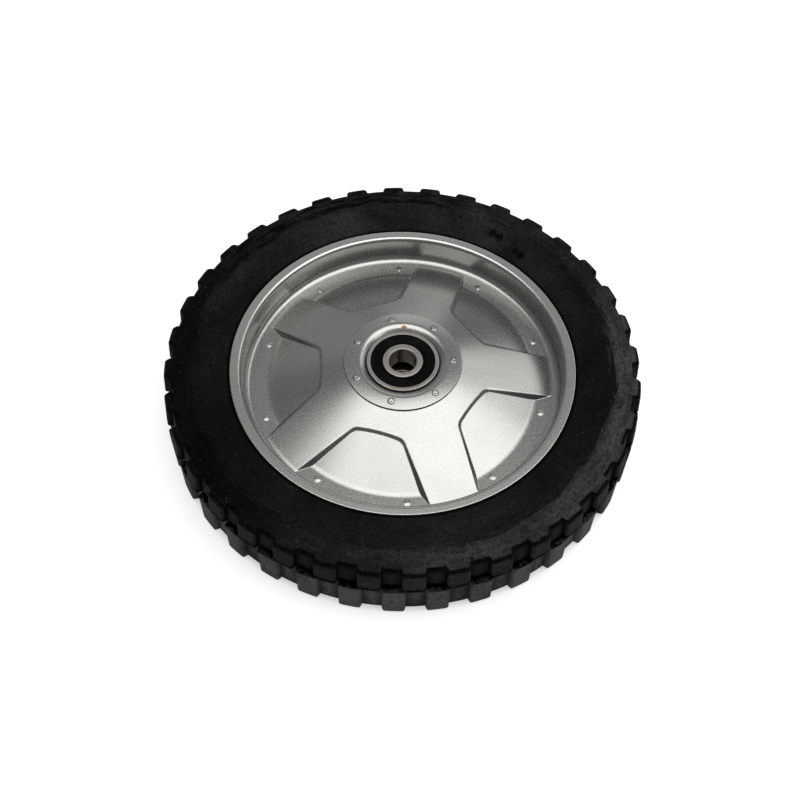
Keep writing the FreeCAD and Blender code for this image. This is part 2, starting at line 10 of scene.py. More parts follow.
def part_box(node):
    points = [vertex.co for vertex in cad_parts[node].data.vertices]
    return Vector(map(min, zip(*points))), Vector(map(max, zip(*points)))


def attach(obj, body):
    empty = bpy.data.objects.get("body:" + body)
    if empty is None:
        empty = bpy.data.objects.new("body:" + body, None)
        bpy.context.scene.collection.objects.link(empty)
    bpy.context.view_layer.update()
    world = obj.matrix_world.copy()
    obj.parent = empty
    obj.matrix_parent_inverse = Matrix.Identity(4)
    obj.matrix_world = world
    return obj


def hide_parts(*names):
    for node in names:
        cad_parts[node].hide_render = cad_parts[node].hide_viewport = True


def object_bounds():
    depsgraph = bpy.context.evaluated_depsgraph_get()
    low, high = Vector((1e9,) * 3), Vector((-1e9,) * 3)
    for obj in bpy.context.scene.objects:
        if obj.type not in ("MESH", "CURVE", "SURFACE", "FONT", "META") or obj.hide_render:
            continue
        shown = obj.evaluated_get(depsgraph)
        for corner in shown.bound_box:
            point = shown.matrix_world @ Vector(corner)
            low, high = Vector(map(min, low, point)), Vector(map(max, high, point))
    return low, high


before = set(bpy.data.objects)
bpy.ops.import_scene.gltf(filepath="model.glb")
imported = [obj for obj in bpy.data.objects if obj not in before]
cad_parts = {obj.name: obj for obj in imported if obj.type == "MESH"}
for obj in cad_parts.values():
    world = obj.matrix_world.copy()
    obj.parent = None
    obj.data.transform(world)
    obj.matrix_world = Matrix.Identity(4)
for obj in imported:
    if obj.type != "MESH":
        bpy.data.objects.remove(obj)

bl_info = {
    "name": "Mower Wheel",
    "version": (1, 0, 0),
    "blender": (4, 5, 0),
    "location": "3D View > Sidebar > Wheel",
    "description": "Garden machine wheel with a block tread tyre, a pressed star rim and sealed bearings",
    "category": "Object",
}

MM = 0.001
TYRE_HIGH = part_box("tyre")[1]
CAD_LOW, CAD_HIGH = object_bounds()
# Points of a mesh closer than this are joined, in metres
MERGE = 1e-6
# Depth of a dimple's foot in the sheet, so that no gap shows
DIMPLE_SINK = 0.005 * MM

StarLines = namedtuple("StarLines", "slope rise lean taper root")


def length(name, about, millimetres):
    """Property for a size, given in millimetres and kept in metres."""
    return FloatProperty(name=name, description=about, default=millimetres * MM, unit="LENGTH", precision=5)


def turn(name, about, degrees):
    """Property for an angle, given in degrees."""
    return FloatProperty(name=name, description=about, default=math.radians(degrees), subtype="ANGLE")


def tint(name, about, colour):
    """Property for a linear colour."""
    return FloatVectorProperty(name=name, description=about, default=colour, subtype="COLOR", min=0, max=1)


class WheelTyreSizes(bpy.types.PropertyGroup):
    """Sizes of the tyre and its tread."""
    radius: length("Radius", "Tread face at the middle", TYRE_HIGH.x / MM)
    half_width: length("Half width", "Sidewall ridge from the middle", TYRE_HIGH.z / MM)
    crown: length("Crown", "Fall of the tread face towards its front edge", 0.9)
    bevel_depth: length("Bevel depth", "Bevel between tread and front shoulder, radial", 1.8)
    bevel_height: length("Bevel height", "Bevel between tread and front shoulder, along the axis", 1.6)
    rear_fall: length("Rear fall", "Fall of the tread face towards its rear edge", 0.15)
    rear_turn: turn("Rear turn", "Turn of the rear row past the half step", 0.57)
    band: length("Shoulder band", "Radial width of the shoulder band", 10.0)
    fall: length("Shoulder fall", "Fall of the shoulder band below the ridge", 0.6)
    sag: length("Sidewall sag", "Hollow of the sidewall between lip and ridge", 0.4)
    groove: length("Ridge groove", "Fine moulded groove along the sidewall ridge", 0.25)
    split: length("Split line", "Line where the two rows of blocks meet", 2.6)
    depth: length("Tread depth", "Depth of the pockets between blocks", 2.4)
    wall_lean: length("Wall lean", "Half of the lean of a block side", 0.4)
    block_round: length("Block rounding", "Rounding of the block edges", 0.7)
    block_angle: turn("Block angle", "Width of one block", 5.25)
    blocks: IntProperty(name="Blocks", description="Blocks in one row", default=36, min=12)
    lead: turn("Tread turn", "Turn of the front row from the spoke", 0.92)
    seat_foot: length("Seat foot", "Inside radius at the middle", 70.6)
    seat_top: length("Seat top", "Inside radius under the lip", 71.7)
    lip: length("Lip mouth", "Rubber around the edge of the rim lip", 75.3)
    lip_height: length("Lip mouth height", "Rubber beside the edge of the rim lip", 13.4)
    seat_height: length("Seat height", "Rubber under the lip", 12.4)
    bead: length("Bead bevel", "Bevel of the rubber under the lip", 1.2)


class WheelRimSizes(bpy.types.PropertyGroup):
    """Sizes of the two rim pressings and the hub sleeve."""
    sheet: length("Sheet", "Sheet thickness of both pressings", 1.2)
    lip: length("Lip radius", "Outer edge of the lip", 75.0)
    lip_height: length("Lip height", "Outer face of the lip from the middle", 13.7)
    lip_bend: length("Lip bend", "Rounding from wall to lip", 1.9)
    wall_top: length("Wall top", "Inside radius of the wall at the lip", 70.2)
    wall_foot: length("Wall foot", "Inside radius of the wall at its foot", 69.3)
    foot_bend: length("Foot bend", "Rounding from flat ring to wall", 3.2)
    rear_ring: length("Rear ring", "Inner edge of the rear pressing", 57.0)
    land: length("Land height", "Flat seat of the hub flange", 14.1)
    land_radius: length("Land radius", "Edge of the flat seat", 26.0)
    land_step: length("Land step", "Small drop at the edge of the flat seat", 0.12)
    land_round: length("Land rounding", "Softness of the edge of the flat seat", 0.08)
    hole: length("Disc hole", "Hole around the hub sleeve", 20.0)
    fade: length("Spoke end", "Radius where the spokes run out", 65.8)
    panel_arc: length("Panel arc", "Arc where a panel meets the flat ring", 59.0)
    arc_round: length("Arc rounding", "Softness of that arc", 0.5)
    panel_edge: length("Panel edge", "Straight inner panel edge from the axis", 35.95)
    edge_clear: length("Edge clearance", "Room inside that edge for its roundings", 3.0)
    panel_step: length("Panel step", "Step from star to panel at that edge", 0.83)
    spoke_root: length("Spoke root", "Half width of a spoke at its root", 12.8)
    spoke_end: length("Spoke end width", "Half width of a spoke at its end", 10.2)
    draft: turn("Draft", "Lean of the pressed step from upright", 36.0)
    edge_round: length("Step rounding", "Softness of the upper pressed edges", 0.5)
    foot_round: length("Step foot rounding", "Softness of the lower pressed edges", 0.25)
    corner_round: length("Corner rounding", "Softness of the inner panel corners", 1.0)
    spokes: IntProperty(name="Spokes", description="Spokes and panels", default=5, min=3)
    weld_circle: length("Rim weld circle", "Circle of the weld dimples on the flat ring", 62.5)
    weld_angle: turn("Rim weld angle", "Dimple to the middle of its panel", 18.2)
    weld_radius: length("Rim weld radius", "Foot of a dimple on the flat ring", 1.9)
    weld_rise: length("Rim weld rise", "Height of a dimple on the flat ring", 0.27)
    flange: length("Flange radius", "Outer edge of the hub flange", 25.7)
    flange_height: length("Flange height", "Front face of the flange at its edge, from the middle", 15.05)
    flange_lean: turn("Flange lean", "Rise of the flange face towards the bearing", 7.6)
    flange_roll: length("Flange roll", "Rounding from flange into bearing seat", 4.5)
    roll_corner: length("Roll corner", "Radius where the flange turns into the roll", 18.6)
    roll_foot: length("Roll foot", "Radius where the roll ends beside the bearing", 16.35)
    roll_foot_height: length("Roll foot height", "Height of that end from the middle", 14.33)
    sleeve: length("Sleeve radius", "Outside of the sleeve", 17.52)
    sleeve_end: length("Sleeve end", "Rear end of the sleeve below the middle", 12.0)
    seat: length("Bearing seat", "Inside of the sleeve", 16.02)
    stop: length("Stop rib", "Inside of the rib between the bearings", 14.32)
    hub_welds: IntProperty(name="Hub welds", description="Weld dimples on the flange", default=7, min=1)
    hub_weld_circle: length("Hub weld circle", "Circle of the weld dimples on the flange", 22.1)
    hub_weld_turn: turn("Hub weld turn", "Turn of the first dimple", 101.25)
    hub_weld_radius: length("Hub weld radius", "Foot of a dimple on the flange", 1.7)
    hub_weld_rise: length("Hub weld rise", "Height of a dimple on the flange", 0.32)


class WheelBearingSizes(bpy.types.PropertyGroup):
    """Sizes of the sealed ball bearings."""
    bore: length("Bore", "Axle seat radius", 6.0)
    outer: length("Outside", "Outside radius of the outer ring", 16.0)
    width: length("Width", "Width of one bearing", 10.0)
    chamfer: length("Chamfer", "Ring corners", 0.4)
    inner_land: length("Inner shoulder", "Outside radius of the inner ring", 8.73)
    outer_land: length("Outer shoulder", "Inside radius of the outer ring", 13.2)
    seal_seat: length("Seal seat", "Recess of the outer ring for a seal", 14.07)
    seal_recess: length("Seal recess", "Seal below the ring faces", 0.25)
    seal_thickness: length("Seal thickness", "Thickness of one seal", 0.7)
    ball_circle: length("Ball circle", "Circle of the ball centres", 11.0)
    track: length("Ball track", "Radius of the track section", 3.026)
    front_plane: length("Front ball plane", "Middle of the front bearing", 10.0)
    rear_plane: length("Rear ball plane", "Middle of the rear bearing", -6.5)


class WheelFinish(bpy.types.PropertyGroup):
    """Colours of the finishes, linear."""
    rubber: tint("Rubber", "Moulded tyre rubber", (0.0012, 0.0012, 0.0013))
    # Painted shade along the split line, under the front row of blocks
    gap: tint("Split gap", "Dark line between the rows of blocks", (0.0006, 0.0006, 0.0006))
    dust: tint("Dust", "Pale dust rubbed into the rubber", (0.150, 0.148, 0.147))
    grit: tint("Grit", "Tiny tan specks on the rubber", (0.30, 0.26, 0.20))
    paint: tint("Silver paint", "Metallic paint of rim and hub", (0.42, 0.42, 0.40))
    # Paler lip colour: a painted sheen on the lip
    lip: tint("Lip", "Paler paint on the lip", (0.58, 0.58, 0.555))
    # Dark colour laid as painted shade on the pressed steps, the upright rim wall, the flange edge and the
    # weld dimples
    painted_shade: tint("Grime", "Dark film on pressed steps and weld dimples", (0.03, 0.03, 0.03))
    nick: tint("Nicks", "Dark nicks in the paint", (0.02, 0.02, 0.02))
    red: tint("Red marks", "Small dull red marks on the flange", (0.16, 0.06, 0.055))
    rust: tint("Rust", "Small rust spots on the paint", (0.34, 0.17, 0.045))
    steel: tint("Bearing steel", "Ground bearing rings", (0.50, 0.475, 0.44))
    bore: tint("Bore", "Polished bore of an inner ring", (0.92, 0.88, 0.83))
    # Dark streaks along the bore: painted reflection
    streak: tint("Bore streaks", "Dark streaks along the bore", (0.03, 0.027, 0.024))
    # Painted shade in the crevice at the outer corner of a bearing
    crevice_shade: tint("Oil", "Dark oil at the outer corner of a bearing", (0.02, 0.018, 0.016))
    seal: tint("Seal", "Moulded bearing seals", (0.0028, 0.0028, 0.0028))
    # Painted shade at the edges of a seal
    seal_edge_shade: tint("Seal edge", "Darker edges of a seal", (0.0005, 0.0005, 0.0005))
    cage: tint("Cage", "Pressed steel cage", (0.36, 0.35, 0.34))
    floor: tint("Floor", "Pale studio floor", (0.75, 0.75, 0.75))


# Mesh helpers

def steps(first, last, count):
    """Evenly spaced values from first up to, and without, last."""
    return [first + (last - first) * index / count for index in range(count)]


def graded(first, bands):
    """Values from first on, in bands that each have an end and a number of steps."""
    values = []
    for end, count in bands:
        values += steps(first, end, count)
        first = end
    return values


def from_axis(vert):
    """Distance of a point from the wheel axis."""
    return math.hypot(vert.co.x, vert.co.y)


def rounded(corners, segments=6):
    """Outline with corners turned into arcs; a corner is radius, height and, if rounded, its rounding."""
    outline = []
    count = len(corners)
    for index, corner in enumerate(corners):
        here = Vector(corner[:2])
        if len(corner) == 2:
            outline.append(here)
            continue
        before = (Vector(corners[index - 1][:2]) - here).normalized()
        after = (Vector(corners[(index + 1) % count][:2]) - here).normalized()
        half = before.angle(after) / 2
        centre = here + (before + after).normalized() * corner[2] / math.sin(half)
        start = here + before * corner[2] / math.tan(half) - centre
        sweep = start.angle_signed(here + after * corner[2] / math.tan(half) - centre)
        for step in range(segments + 1):
            outline.append(centre + Matrix.Rotation(-sweep * step / segments, 2) @ start)
    return outline


def spun(outline, columns, sectors=1):
    """Ring turned about the wheel axis from a closed outline of radius and height, in equal sectors."""
    mesh = bmesh.new()
    verts = [mesh.verts.new((point[0], 0, point[1])) for point in outline]
    edges = [mesh.edges.new(pair) for pair in zip(verts, verts[1:] + verts[:1])]
    sector = 2 * math.pi / sectors
    bmesh.ops.spin(mesh, geom=verts + edges, cent=(0, 0, 0), axis=(0, 0, 1), angle=sector,
                   steps=columns // sectors, use_merge=sectors == 1)
    first = mesh.verts[:] + mesh.edges[:] + mesh.faces[:]
    for index in range(1, sectors):
        made = bmesh.ops.duplicate(mesh, geom=first)["geom"]
        bmesh.ops.rotate(mesh, verts=[item for item in made if isinstance(item, bmesh.types.BMVert)],
                         matrix=Matrix.Rotation(sector * index, 3, "Z"))
    bmesh.ops.remove_doubles(mesh, verts=mesh.verts, dist=MERGE)
    bmesh.ops.recalc_face_normals(mesh, faces=mesh.faces)
    return mesh


def join(mesh, other):
    """Moves all of another mesh into a mesh."""
    data = bpy.data.meshes.new("joined")
    other.to_mesh(data)
    other.free()
    mesh.from_mesh(data)
    bpy.data.meshes.remove(data)


def place_dimples(mesh, places, outline, columns=28):
    """Adds a small turned dimple at each place; its outline is radius, height and share of painted shade."""
    dimple = bmesh.new()
    step = dimple.verts.layers.float.new("shade_share")
    verts = []
    for radius, height, painted_shade in outline:
        verts.append(dimple.verts.new((radius, 0, height)))
        verts[-1][step] = painted_shade
    edges = [dimple.edges.new(pair) for pair in zip(verts, verts[1:])]
    bmesh.ops.spin(dimple, geom=verts + edges, cent=(0, 0, 0), axis=(0, 0, 1), angle=2 * math.pi,
                   steps=columns, use_merge=True)
    bmesh.ops.remove_doubles(dimple, verts=dimple.verts, dist=MERGE)
    bmesh.ops.recalc_face_normals(dimple, faces=dimple.faces)
    if sum(face.normal.z for face in dimple.faces) < 0:
        bmesh.ops.reverse_faces(dimple, faces=dimple.faces)
    for place in places:
        copy = dimple.copy()
        bmesh.ops.transform(copy, matrix=place, verts=copy.verts)
        join(mesh, copy)
    dimple.free()


def soften(mesh, degrees=32):
    """Smooth shading that keeps edges sharper than the given angle."""
    limit = math.radians(degrees)
    for face in mesh.faces:
        face.smooth = True
    for edge in mesh.edges:
        edge.smooth = edge.calc_face_angle(0) < limit


def finish_piece(mesh, name, body, nodes, materials):
    """Turns a mesh into a piece that rides on a body and stands for its solids."""
    data = bpy.data.meshes.new(name)
    mesh.to_mesh(data)
    mesh.free()
    piece = bpy.data.objects.new(name, data)
    bpy.context.scene.collection.objects.link(piece)
    for material in materials:
        data.materials.append(material)
    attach(piece, body)
    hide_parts(*nodes)
    return piece


def smooth_low(first, second, blend):
    """Smaller of two values, with a rounded change from one to the other."""
    near = max(blend - abs(first - second), 0) / blend
    return min(first, second) - near * near * blend / 4


def smooth_high(first, second, blend):
    """Larger of two values, with a rounded change from one to the other."""
    return -smooth_low(-first, -second, blend)


# Node helpers

def fill(tree, inputs, values):
    """Gives inputs their values, or links them to sockets."""
    for key, value in values.items():
        if isinstance(value, bpy.types.NodeSocket):
            tree.links.new(value, inputs[key])
        else:
            inputs[key].default_value = value


def node(tree, kind, values, **settings):
    """Outputs of a new node with the given settings and inputs."""
    made = tree.nodes.new(kind)
    for key, value in settings.items():
        setattr(made, key, value)
    fill(tree, made.inputs, values)
    return made.outputs


def maths(tree, operation, first, second=0.0):
    """Result of one sum on two values or sockets."""
    return node(tree, "ShaderNodeMath", {0: first, 1: second}, operation=operation)[0]


def times(tree, product, *more):
    """Product of values or sockets."""
    for value in more:
        product = maths(tree, "MULTIPLY", product, value)
    return product


def plus(tree, first, second):
    """Sum of two values or sockets."""
    return maths(tree, "ADD", first, second)


def larger(tree, first, second):
    """Larger of two values or sockets."""
    return maths(tree, "MAXIMUM", first, second)


def spread(tree, value, low, high, start=0.0, end=1.0):
    """Value stretched from one range to another, and held at its ends."""
    return node(tree, "ShaderNodeMapRange", {"Value": value, "From Min": low, "From Max": high,
                                             "To Min": start, "To Max": end})["Result"]


def noise(tree, vector, scale, detail, roughness=0.5, distortion=0.0):
    """Soft noise between 0 and 1."""
    return node(tree, "ShaderNodeTexNoise", {"Vector": vector, "Scale": scale, "Detail": detail,
                                             "Roughness": roughness, "Distortion": distortion})["Fac"]


def cells(tree, vector, scale, channel):
    """Distance to the nearest of many scattered points, and a chance value of that point."""
    made = node(tree, "ShaderNodeTexVoronoi", {"Vector": vector, "Scale": scale})
    return made["Distance"], node(tree, "ShaderNodeSeparateColor", {0: made["Color"]})[channel]


def attribute(tree, name):
    """Value kept on the points of a mesh."""
    return node(tree, "ShaderNodeAttribute", {}, attribute_name=name)["Fac"]


def blend_value(tree, share, first, second):
    """One value laid over another by a share."""
    return node(tree, "ShaderNodeMix", {0: share, 2: first, 3: second})[0]


def blend_colour(tree, share, first, second, kind="MIX"):
    """One colour laid over another by a share."""
    return node(tree, "ShaderNodeMix", {0: share, 6: first, 7: second}, data_type="RGBA", blend_type=kind)[2]


def opaque(colour):
    """Colour with full alpha."""
    return (colour[0], colour[1], colour[2], 1.0)


def shaded(tree, colour, shade):
    """Colour made lighter or darker by a value."""
    grey = node(tree, "ShaderNodeCombineColor", {0: shade, 1: shade, 2: shade})[0]
    return blend_colour(tree, 1.0, opaque(colour), grey, "MULTIPLY")


def bump(tree, height, strength, distance):
    """Normal from a height."""
    return node(tree, "ShaderNodeBump", {"Height": height, "Strength": strength, "Distance": distance})[0]


def radius_of(tree, where):
    """Distance from the wheel axis, and the three coordinates."""
    parts = node(tree, "ShaderNodeSeparateXYZ", {0: where})
    flat = node(tree, "ShaderNodeCombineXYZ", {"X": parts["X"], "Y": parts["Y"]})[0]
    return node(tree, "ShaderNodeVectorMath", {0: flat}, operation="LENGTH")["Value"], parts


def new_group(name, numbers, results, vectors=("Vector",)):
    """Empty node group with its vector inputs, its number inputs and their defaults, and its results."""
    tree = bpy.data.node_groups.new(name, "ShaderNodeTree")
    for label in vectors:
        tree.interface.new_socket(name=label, in_out="INPUT", socket_type="NodeSocketVector")
    for label, default in numbers.items():
        socket = tree.interface.new_socket(name=label, in_out="INPUT", socket_type="NodeSocketFloat")
        socket.default_value = default
    for label in results:
        tree.interface.new_socket(name=label, in_out="OUTPUT", socket_type="NodeSocketFloat")
    return tree, tree.nodes.new("NodeGroupInput").outputs, tree.nodes.new("NodeGroupOutput").inputs


def flake_group():
    """Metal flakes and soft clouds of silver paint."""
    tree, given, result = new_group("silver_flakes", {"Scale": 2600.0}, ["Flake", "Cloud"])
    grain = noise(tree, given["Vector"], given["Scale"], 1.0)
    fill(tree, result, {
        "Flake": spread(tree, grain, 0.34, 0.66),
        "Cloud": noise(tree, given["Vector"], 60.0, 4.0),
    })
    return tree


def spot_group():
    """Ragged round spot at one place."""
    tree, given, result = new_group("ragged_spot", {"Radius": 1.0 * MM}, ["Mask"], ["Vector", "Centre"])
    away = node(tree, "ShaderNodeVectorMath", {0: given["Vector"], 1: given["Centre"]}, operation="DISTANCE")
    share = maths(tree, "DIVIDE", away["Value"], given["Radius"])
    ragged = noise(tree, given["Vector"], 1500.0, 3.0)
    rough_edge = plus(tree, share, spread(tree, ragged, 0.3, 0.7, -0.4, 0.4))
    fill(tree, result, {"Mask": spread(tree, rough_edge, 1.1, 0.6)})
    return tree


def dust_group():
    """Patchy film of dust, its fine specks, and small places that are bare of it."""
    tree, given, result = new_group(
        "dust_film", {"Scale": 30.0, "Low": 0.45, "High": 0.75}, ["Film", "Specks", "Bare"])
    patches = noise(tree, given["Vector"], given["Scale"], 7.0, 0.62, 0.4)
    speck, speck_chance = cells(tree, given["Vector"], 820.0, 1)
    pit, pit_chance = cells(tree, given["Vector"], 330.0, 2)
    fill(tree, result, {
        "Film": spread(tree, patches, given["Low"], given["High"]),
        "Specks": times(tree, spread(tree, speck, 0.18, 0.06),
                        spread(tree, speck_chance, 0.86, 1.0, 0.0, 0.5)),
        "Bare": times(tree, spread(tree, pit, 0.42, 0.2), spread(tree, pit_chance, 0.93, 0.99)),
    })
    return tree


def scuff_group():
    """Fine crossing scuffs."""
    tree, given, result = new_group("fine_scuffs", {"Scale": 60.0}, ["Mask"])
    scuffs = 0.0
    for angle, stretch in ((0.5, 22.0), (2.2, 30.0), (1.3, 26.0)):
        turned = node(tree, "ShaderNodeMapping", {"Vector": given["Vector"], "Rotation": (0.2, 0.1, angle),
                                                  "Scale": (1.0, stretch, 1.0)})[0]
        streak = noise(tree, turned, given["Scale"], 2.0)
        scuffs = larger(tree, scuffs, spread(tree, streak, 0.70, 0.76))
    fill(tree, result, {"Mask": scuffs})
    return tree


def group(tree, name, values):
    """Outputs of a shared node group, which is built when first asked for."""
    makers = {"silver_flakes": flake_group, "ragged_spot": spot_group, "dust_film": dust_group,
              "fine_scuffs": scuff_group}
    built = bpy.data.node_groups.get(name) or makers[name]()
    return node(tree, "ShaderNodeGroup", values, node_tree=built)


def new_material(name):
    """New material with its node tree, the inputs of its shader, and its object coordinates."""
    made = bpy.data.materials.new(name)
    made.use_nodes = True
    tree = made.node_tree
    return made, tree, tree.nodes["Principled BSDF"].inputs, node(tree, "ShaderNodeTexCoord", {})["Object"]


# Materials

# Each mark is a place and the radius of a spot, in millimetres
RUST_MARKS = [
    ((1.0, 17.7, 15.2), 1.15),
    ((63.6, 17.9, 1.6), 0.45),
    ((-62.5, 2.5, 1.5), 0.4),
]
DARK_MARKS = [
    ((-0.2, -16.3, 14.2), 0.55),
    ((19.3, 3.8, 15.4), 0.45),
    ((19.0, 2.9, 15.3), 0.3),
    ((55.7, -35.5, 1.2), 0.35),
    ((49.4, -49.7, 2.6), 0.4),
    ((32.6, -60.9, 2.2), 0.4),
    ((-21.5, 67.3, 12.6), 0.5),
    ((63.7, 30.5, 12.6), 0.45),
]
RED_MARKS = [
    ((-7.2, 21.2, 15.5), 0.4),
    ((-6.2, 20.9, 15.55), 0.42),
    ((-4.4, 20.2, 15.65), 0.4),
    ((-3.4, 19.9, 15.7), 0.42),
    ((-1.6, 19.3, 15.75), 0.4),
]
# Places on the tyre where the dust is rubbed off
RUBBED_MARKS = [
    ((44.0, 72.5, 14.9), 2.6),
    ((46.8, 70.2, 14.9), 2.4),
    ((55.8, 59.2, 14.4), 2.2),
    ((53.6, 61.8, 14.5), 1.6),
]


def spot(tree, where, mark):
    """Ragged spot of one mark."""
    place, radius = mark
    centre = tuple(axis * MM for axis in place)
    return group(tree, "ragged_spot", {"Vector": where, "Centre": centre, "Radius": radius * MM})["Mask"]


def silver_paint(name):
    """Satin silver paint with fine flakes, a paler lip that is painted sheen, painted shade on steps, walls
    and dimples, small rust spots and dark nicks.
    """
    colours = bpy.context.scene.wheel_finish
    size = bpy.context.scene.wheel_rim
    made, tree, shader, where = new_material(name)
    away, parts = radius_of(tree, where)
    flakes = group(tree, "silver_flakes", {"Vector": where, "Scale": 1900.0})
    shade = times(tree, spread(tree, flakes["Flake"], 0.0, 1.0, 0.91, 1.09),
                  spread(tree, flakes["Cloud"], 0.3, 0.7, 0.96, 1.04))
    # The paler lip colour, laid strongest towards the far side, is a painted sheen on the lip
    lip_sheen = times(tree, spread(tree, parts["Z"], size.lip_height - 1.2 * MM, size.lip_height - 0.3 * MM),
                   spread(tree, away, size.wall_top, size.wall_top + 1.2 * MM),
                   spread(tree, parts["Y"], -70.0 * MM, 20.0 * MM, 0.1, 1.0))
    colour = blend_colour(tree, lip_sheen, shaded(tree, colours.paint, shade), opaque(colours.lip))
    # Painted shade, from the share kept on the mesh points, darkens the pressed steps, the rim wall, the
    # flange edge and the dimples
    painted_shade = times(tree, attribute(tree, "shade_share"), 0.35)
    colour = blend_colour(tree, painted_shade, colour, opaque(colours.painted_shade))
    plain = 1.0
    for marks, tone in ((RUST_MARKS, colours.rust), (DARK_MARKS, colours.nick), (RED_MARKS, colours.red)):
        for mark in marks:
            mask = spot(tree, where, mark)
            colour = blend_colour(tree, mask, colour, opaque(tone))
            plain = maths(tree, "SUBTRACT", plain, mask)
    scuffs = group(tree, "fine_scuffs", {"Vector": where, "Scale": 40.0})["Mask"]
    satin = spread(tree, flakes["Flake"], 0.0, 1.0, 0.25, 0.29)
    fill(tree, shader, {
        "Base Color": colour,
        "Roughness": plus(tree, satin, times(tree, scuffs, -0.05)),
        "Metallic": times(tree, spread(tree, plain, 0.0, 1.0), 0.92),
        "Normal": bump(tree, flakes["Flake"], 0.03, 0.04 * MM),
    })
    return made


def dust_amount(tree, size, away, parts, streak):
    """Share of the pale dust colour on the sidewall, the shoulder band, and the front and rear rows of
    blocks; it grows towards the far side and towards the right, and is high on the rear row.
    """
    ridge = size.radius - size.crown - size.bevel_depth - size.band
    shoulder_height = size.half_width - size.fall
    bevel_foot = shoulder_height - size.bevel_height
    side = plus(tree, spread(tree, parts["Y"], 0.0, 85.0 * MM, 0.036, 0.125),
                spread(tree, parts["Y"], -30.0 * MM, -80.0 * MM, 0.0, 0.03))
    rightward = maths(tree, "SUBTRACT", parts["X"], times(tree, parts["Y"], 0.5))
    right_band = times(tree, spread(tree, rightward, -30.0 * MM, 100.0 * MM, 0.02, 0.22),
                       spread(tree, streak, 0.34, 0.66, 0.6, 1.5))
    far_band = times(tree, spread(tree, parts["Y"], 30.0 * MM, 100.0 * MM, 0.0, 0.085),
                     spread(tree, streak, 0.42, 0.56, 0.1, 1.5))
    wander = plus(tree, away, spread(tree, streak, 0.35, 0.65, 2.4 * MM, -2.4 * MM))
    on_band = spread(tree, wander, ridge - 0.5 * MM, ridge + 1.0 * MM)
    dust = blend_value(tree, on_band, side, larger(tree, right_band, far_band))
    pocket = attribute(tree, "pocket")

    def row(gap_wall, gap_floor, face):
        """Share of dust on a row of blocks, from the gaps between them to their faces."""
        gap = spread(tree, pocket, 0.0, 1.0, gap_wall, gap_floor)
        return spread(tree, away, size.radius - size.depth, size.radius - 0.5 * size.depth, gap, face)

    bevel = spread(tree, parts["Z"], bevel_foot - 0.3 * MM, bevel_foot + 0.2 * MM, 1.0, 0.12)
    on_tread = times(tree, spread(tree, parts["Z"], shoulder_height - 0.1 * MM, shoulder_height - 0.5 * MM),
                     spread(tree, away, ridge + 5.0 * MM, ridge + 6.0 * MM))
    dust = blend_value(tree, on_tread, dust, times(tree, row(0.008, 0.13, 0.19), bevel))
    on_rear = spread(tree, parts["Z"], size.split - 0.2 * MM, size.split - 0.8 * MM)
    return blend_value(tree, on_rear, dust, row(0.35, 0.85, 0.95))


def tyre_rubber():
    """Black moulded rubber with rubbed-in dust, pale block edges that are a painted highlight, and a ragged
    split line darkened by painted shade.
    """
    colours = bpy.context.scene.wheel_finish
    size = bpy.context.scene.wheel_tyre
    made, tree, shader, where = new_material("tyre_rubber")
    away, parts = radius_of(tree, where)
    film = group(tree, "dust_film", {"Vector": where, "Scale": 34.0, "Low": 0.36, "High": 0.68})
    fine = group(tree, "dust_film", {"Vector": where, "Scale": 800.0, "Low": 0.34, "High": 0.66})
    scuffs = group(tree, "fine_scuffs", {"Vector": where, "Scale": 26.0})["Mask"]
    around = node(tree, "ShaderNodeCombineXYZ", {
        "X": times(tree, parts["X"], 60.0),
        "Y": times(tree, parts["Y"], 60.0),
        "Z": times(tree, away, 420.0),
    })
    dust = dust_amount(tree, size, away, parts, noise(tree, around[0], 1.0, 6.0, 0.65, 1.0))
    smudge = times(tree, spread(tree, film["Film"], 0.0, 1.0, 0.5, 1.5),
                   spread(tree, fine["Film"], 0.0, 1.0, 0.5, 1.5),
                   spread(tree, film["Bare"], 0.0, 1.0, 1.0, 0.35))
    for mark in RUBBED_MARKS:
        smudge = times(tree, smudge, spread(tree, spot(tree, where, mark), 0.0, 1.0, 1.0, 0.1))
    # Next to the rim lip the rubber is kept bare of dust, a painted shade line where the rubber meets the
    # lip
    beside_lip = spread(tree, away, size.lip + 0.3 * MM, size.lip + 1.4 * MM)
    # Paler colour on the rounded block edges is a painted highlight, stronger where the dust is thick
    highlight_share = times(tree, maths(tree, "POWER", attribute(tree, "edge_highlight"), 4.0),
                 spread(tree, fine["Film"], 0.2, 0.9, 0.1, 0.7), spread(tree, dust, 0.0, 0.6, 0.06, 1.0))
    faint = times(tree, scuffs, spread(tree, film["Film"], 0.2, 0.8, 0.0, 0.09))
    dusty = larger(tree, larger(tree, times(tree, dust, smudge, beside_lip), highlight_share), faint)
    colour = blend_colour(tree, dusty, opaque(colours.rubber), opaque(colours.dust))
    colour = blend_colour(tree, film["Specks"], colour, opaque(colours.grit))
    # The dark ragged line along the split is painted shade under the front row of blocks; the flash beside
    # it is a bump
    ragged = noise(tree, where, 520.0, 3.0)
    uneven = plus(tree, parts["Z"], spread(tree, ragged, 0.3, 0.7, -0.8 * MM, 0.8 * MM))
    from_split = maths(tree, "ABSOLUTE", maths(tree, "SUBTRACT", uneven, size.split + 1.2 * MM))
    gap = spread(tree, from_split, 1.4 * MM, 1.0 * MM)
    flash = times(tree, spread(tree, from_split, 1.4 * MM, 0.6 * MM), ragged)
    grain = plus(tree, noise(tree, where, 900.0, 4.0), times(tree, noise(tree, where, 160.0, 4.0), 2.0))
    fill(tree, shader, {
        "Base Color": blend_colour(tree, gap, colour, opaque(colours.gap)),
        "Roughness": spread(tree, dusty, 0.0, 0.5, 0.5, 0.88),
        "Normal": bump(tree, plus(tree, grain, times(tree, flash, 5.0)), 0.35, 0.2 * MM),
        "Specular IOR Level": 0.012,
    })
    return made


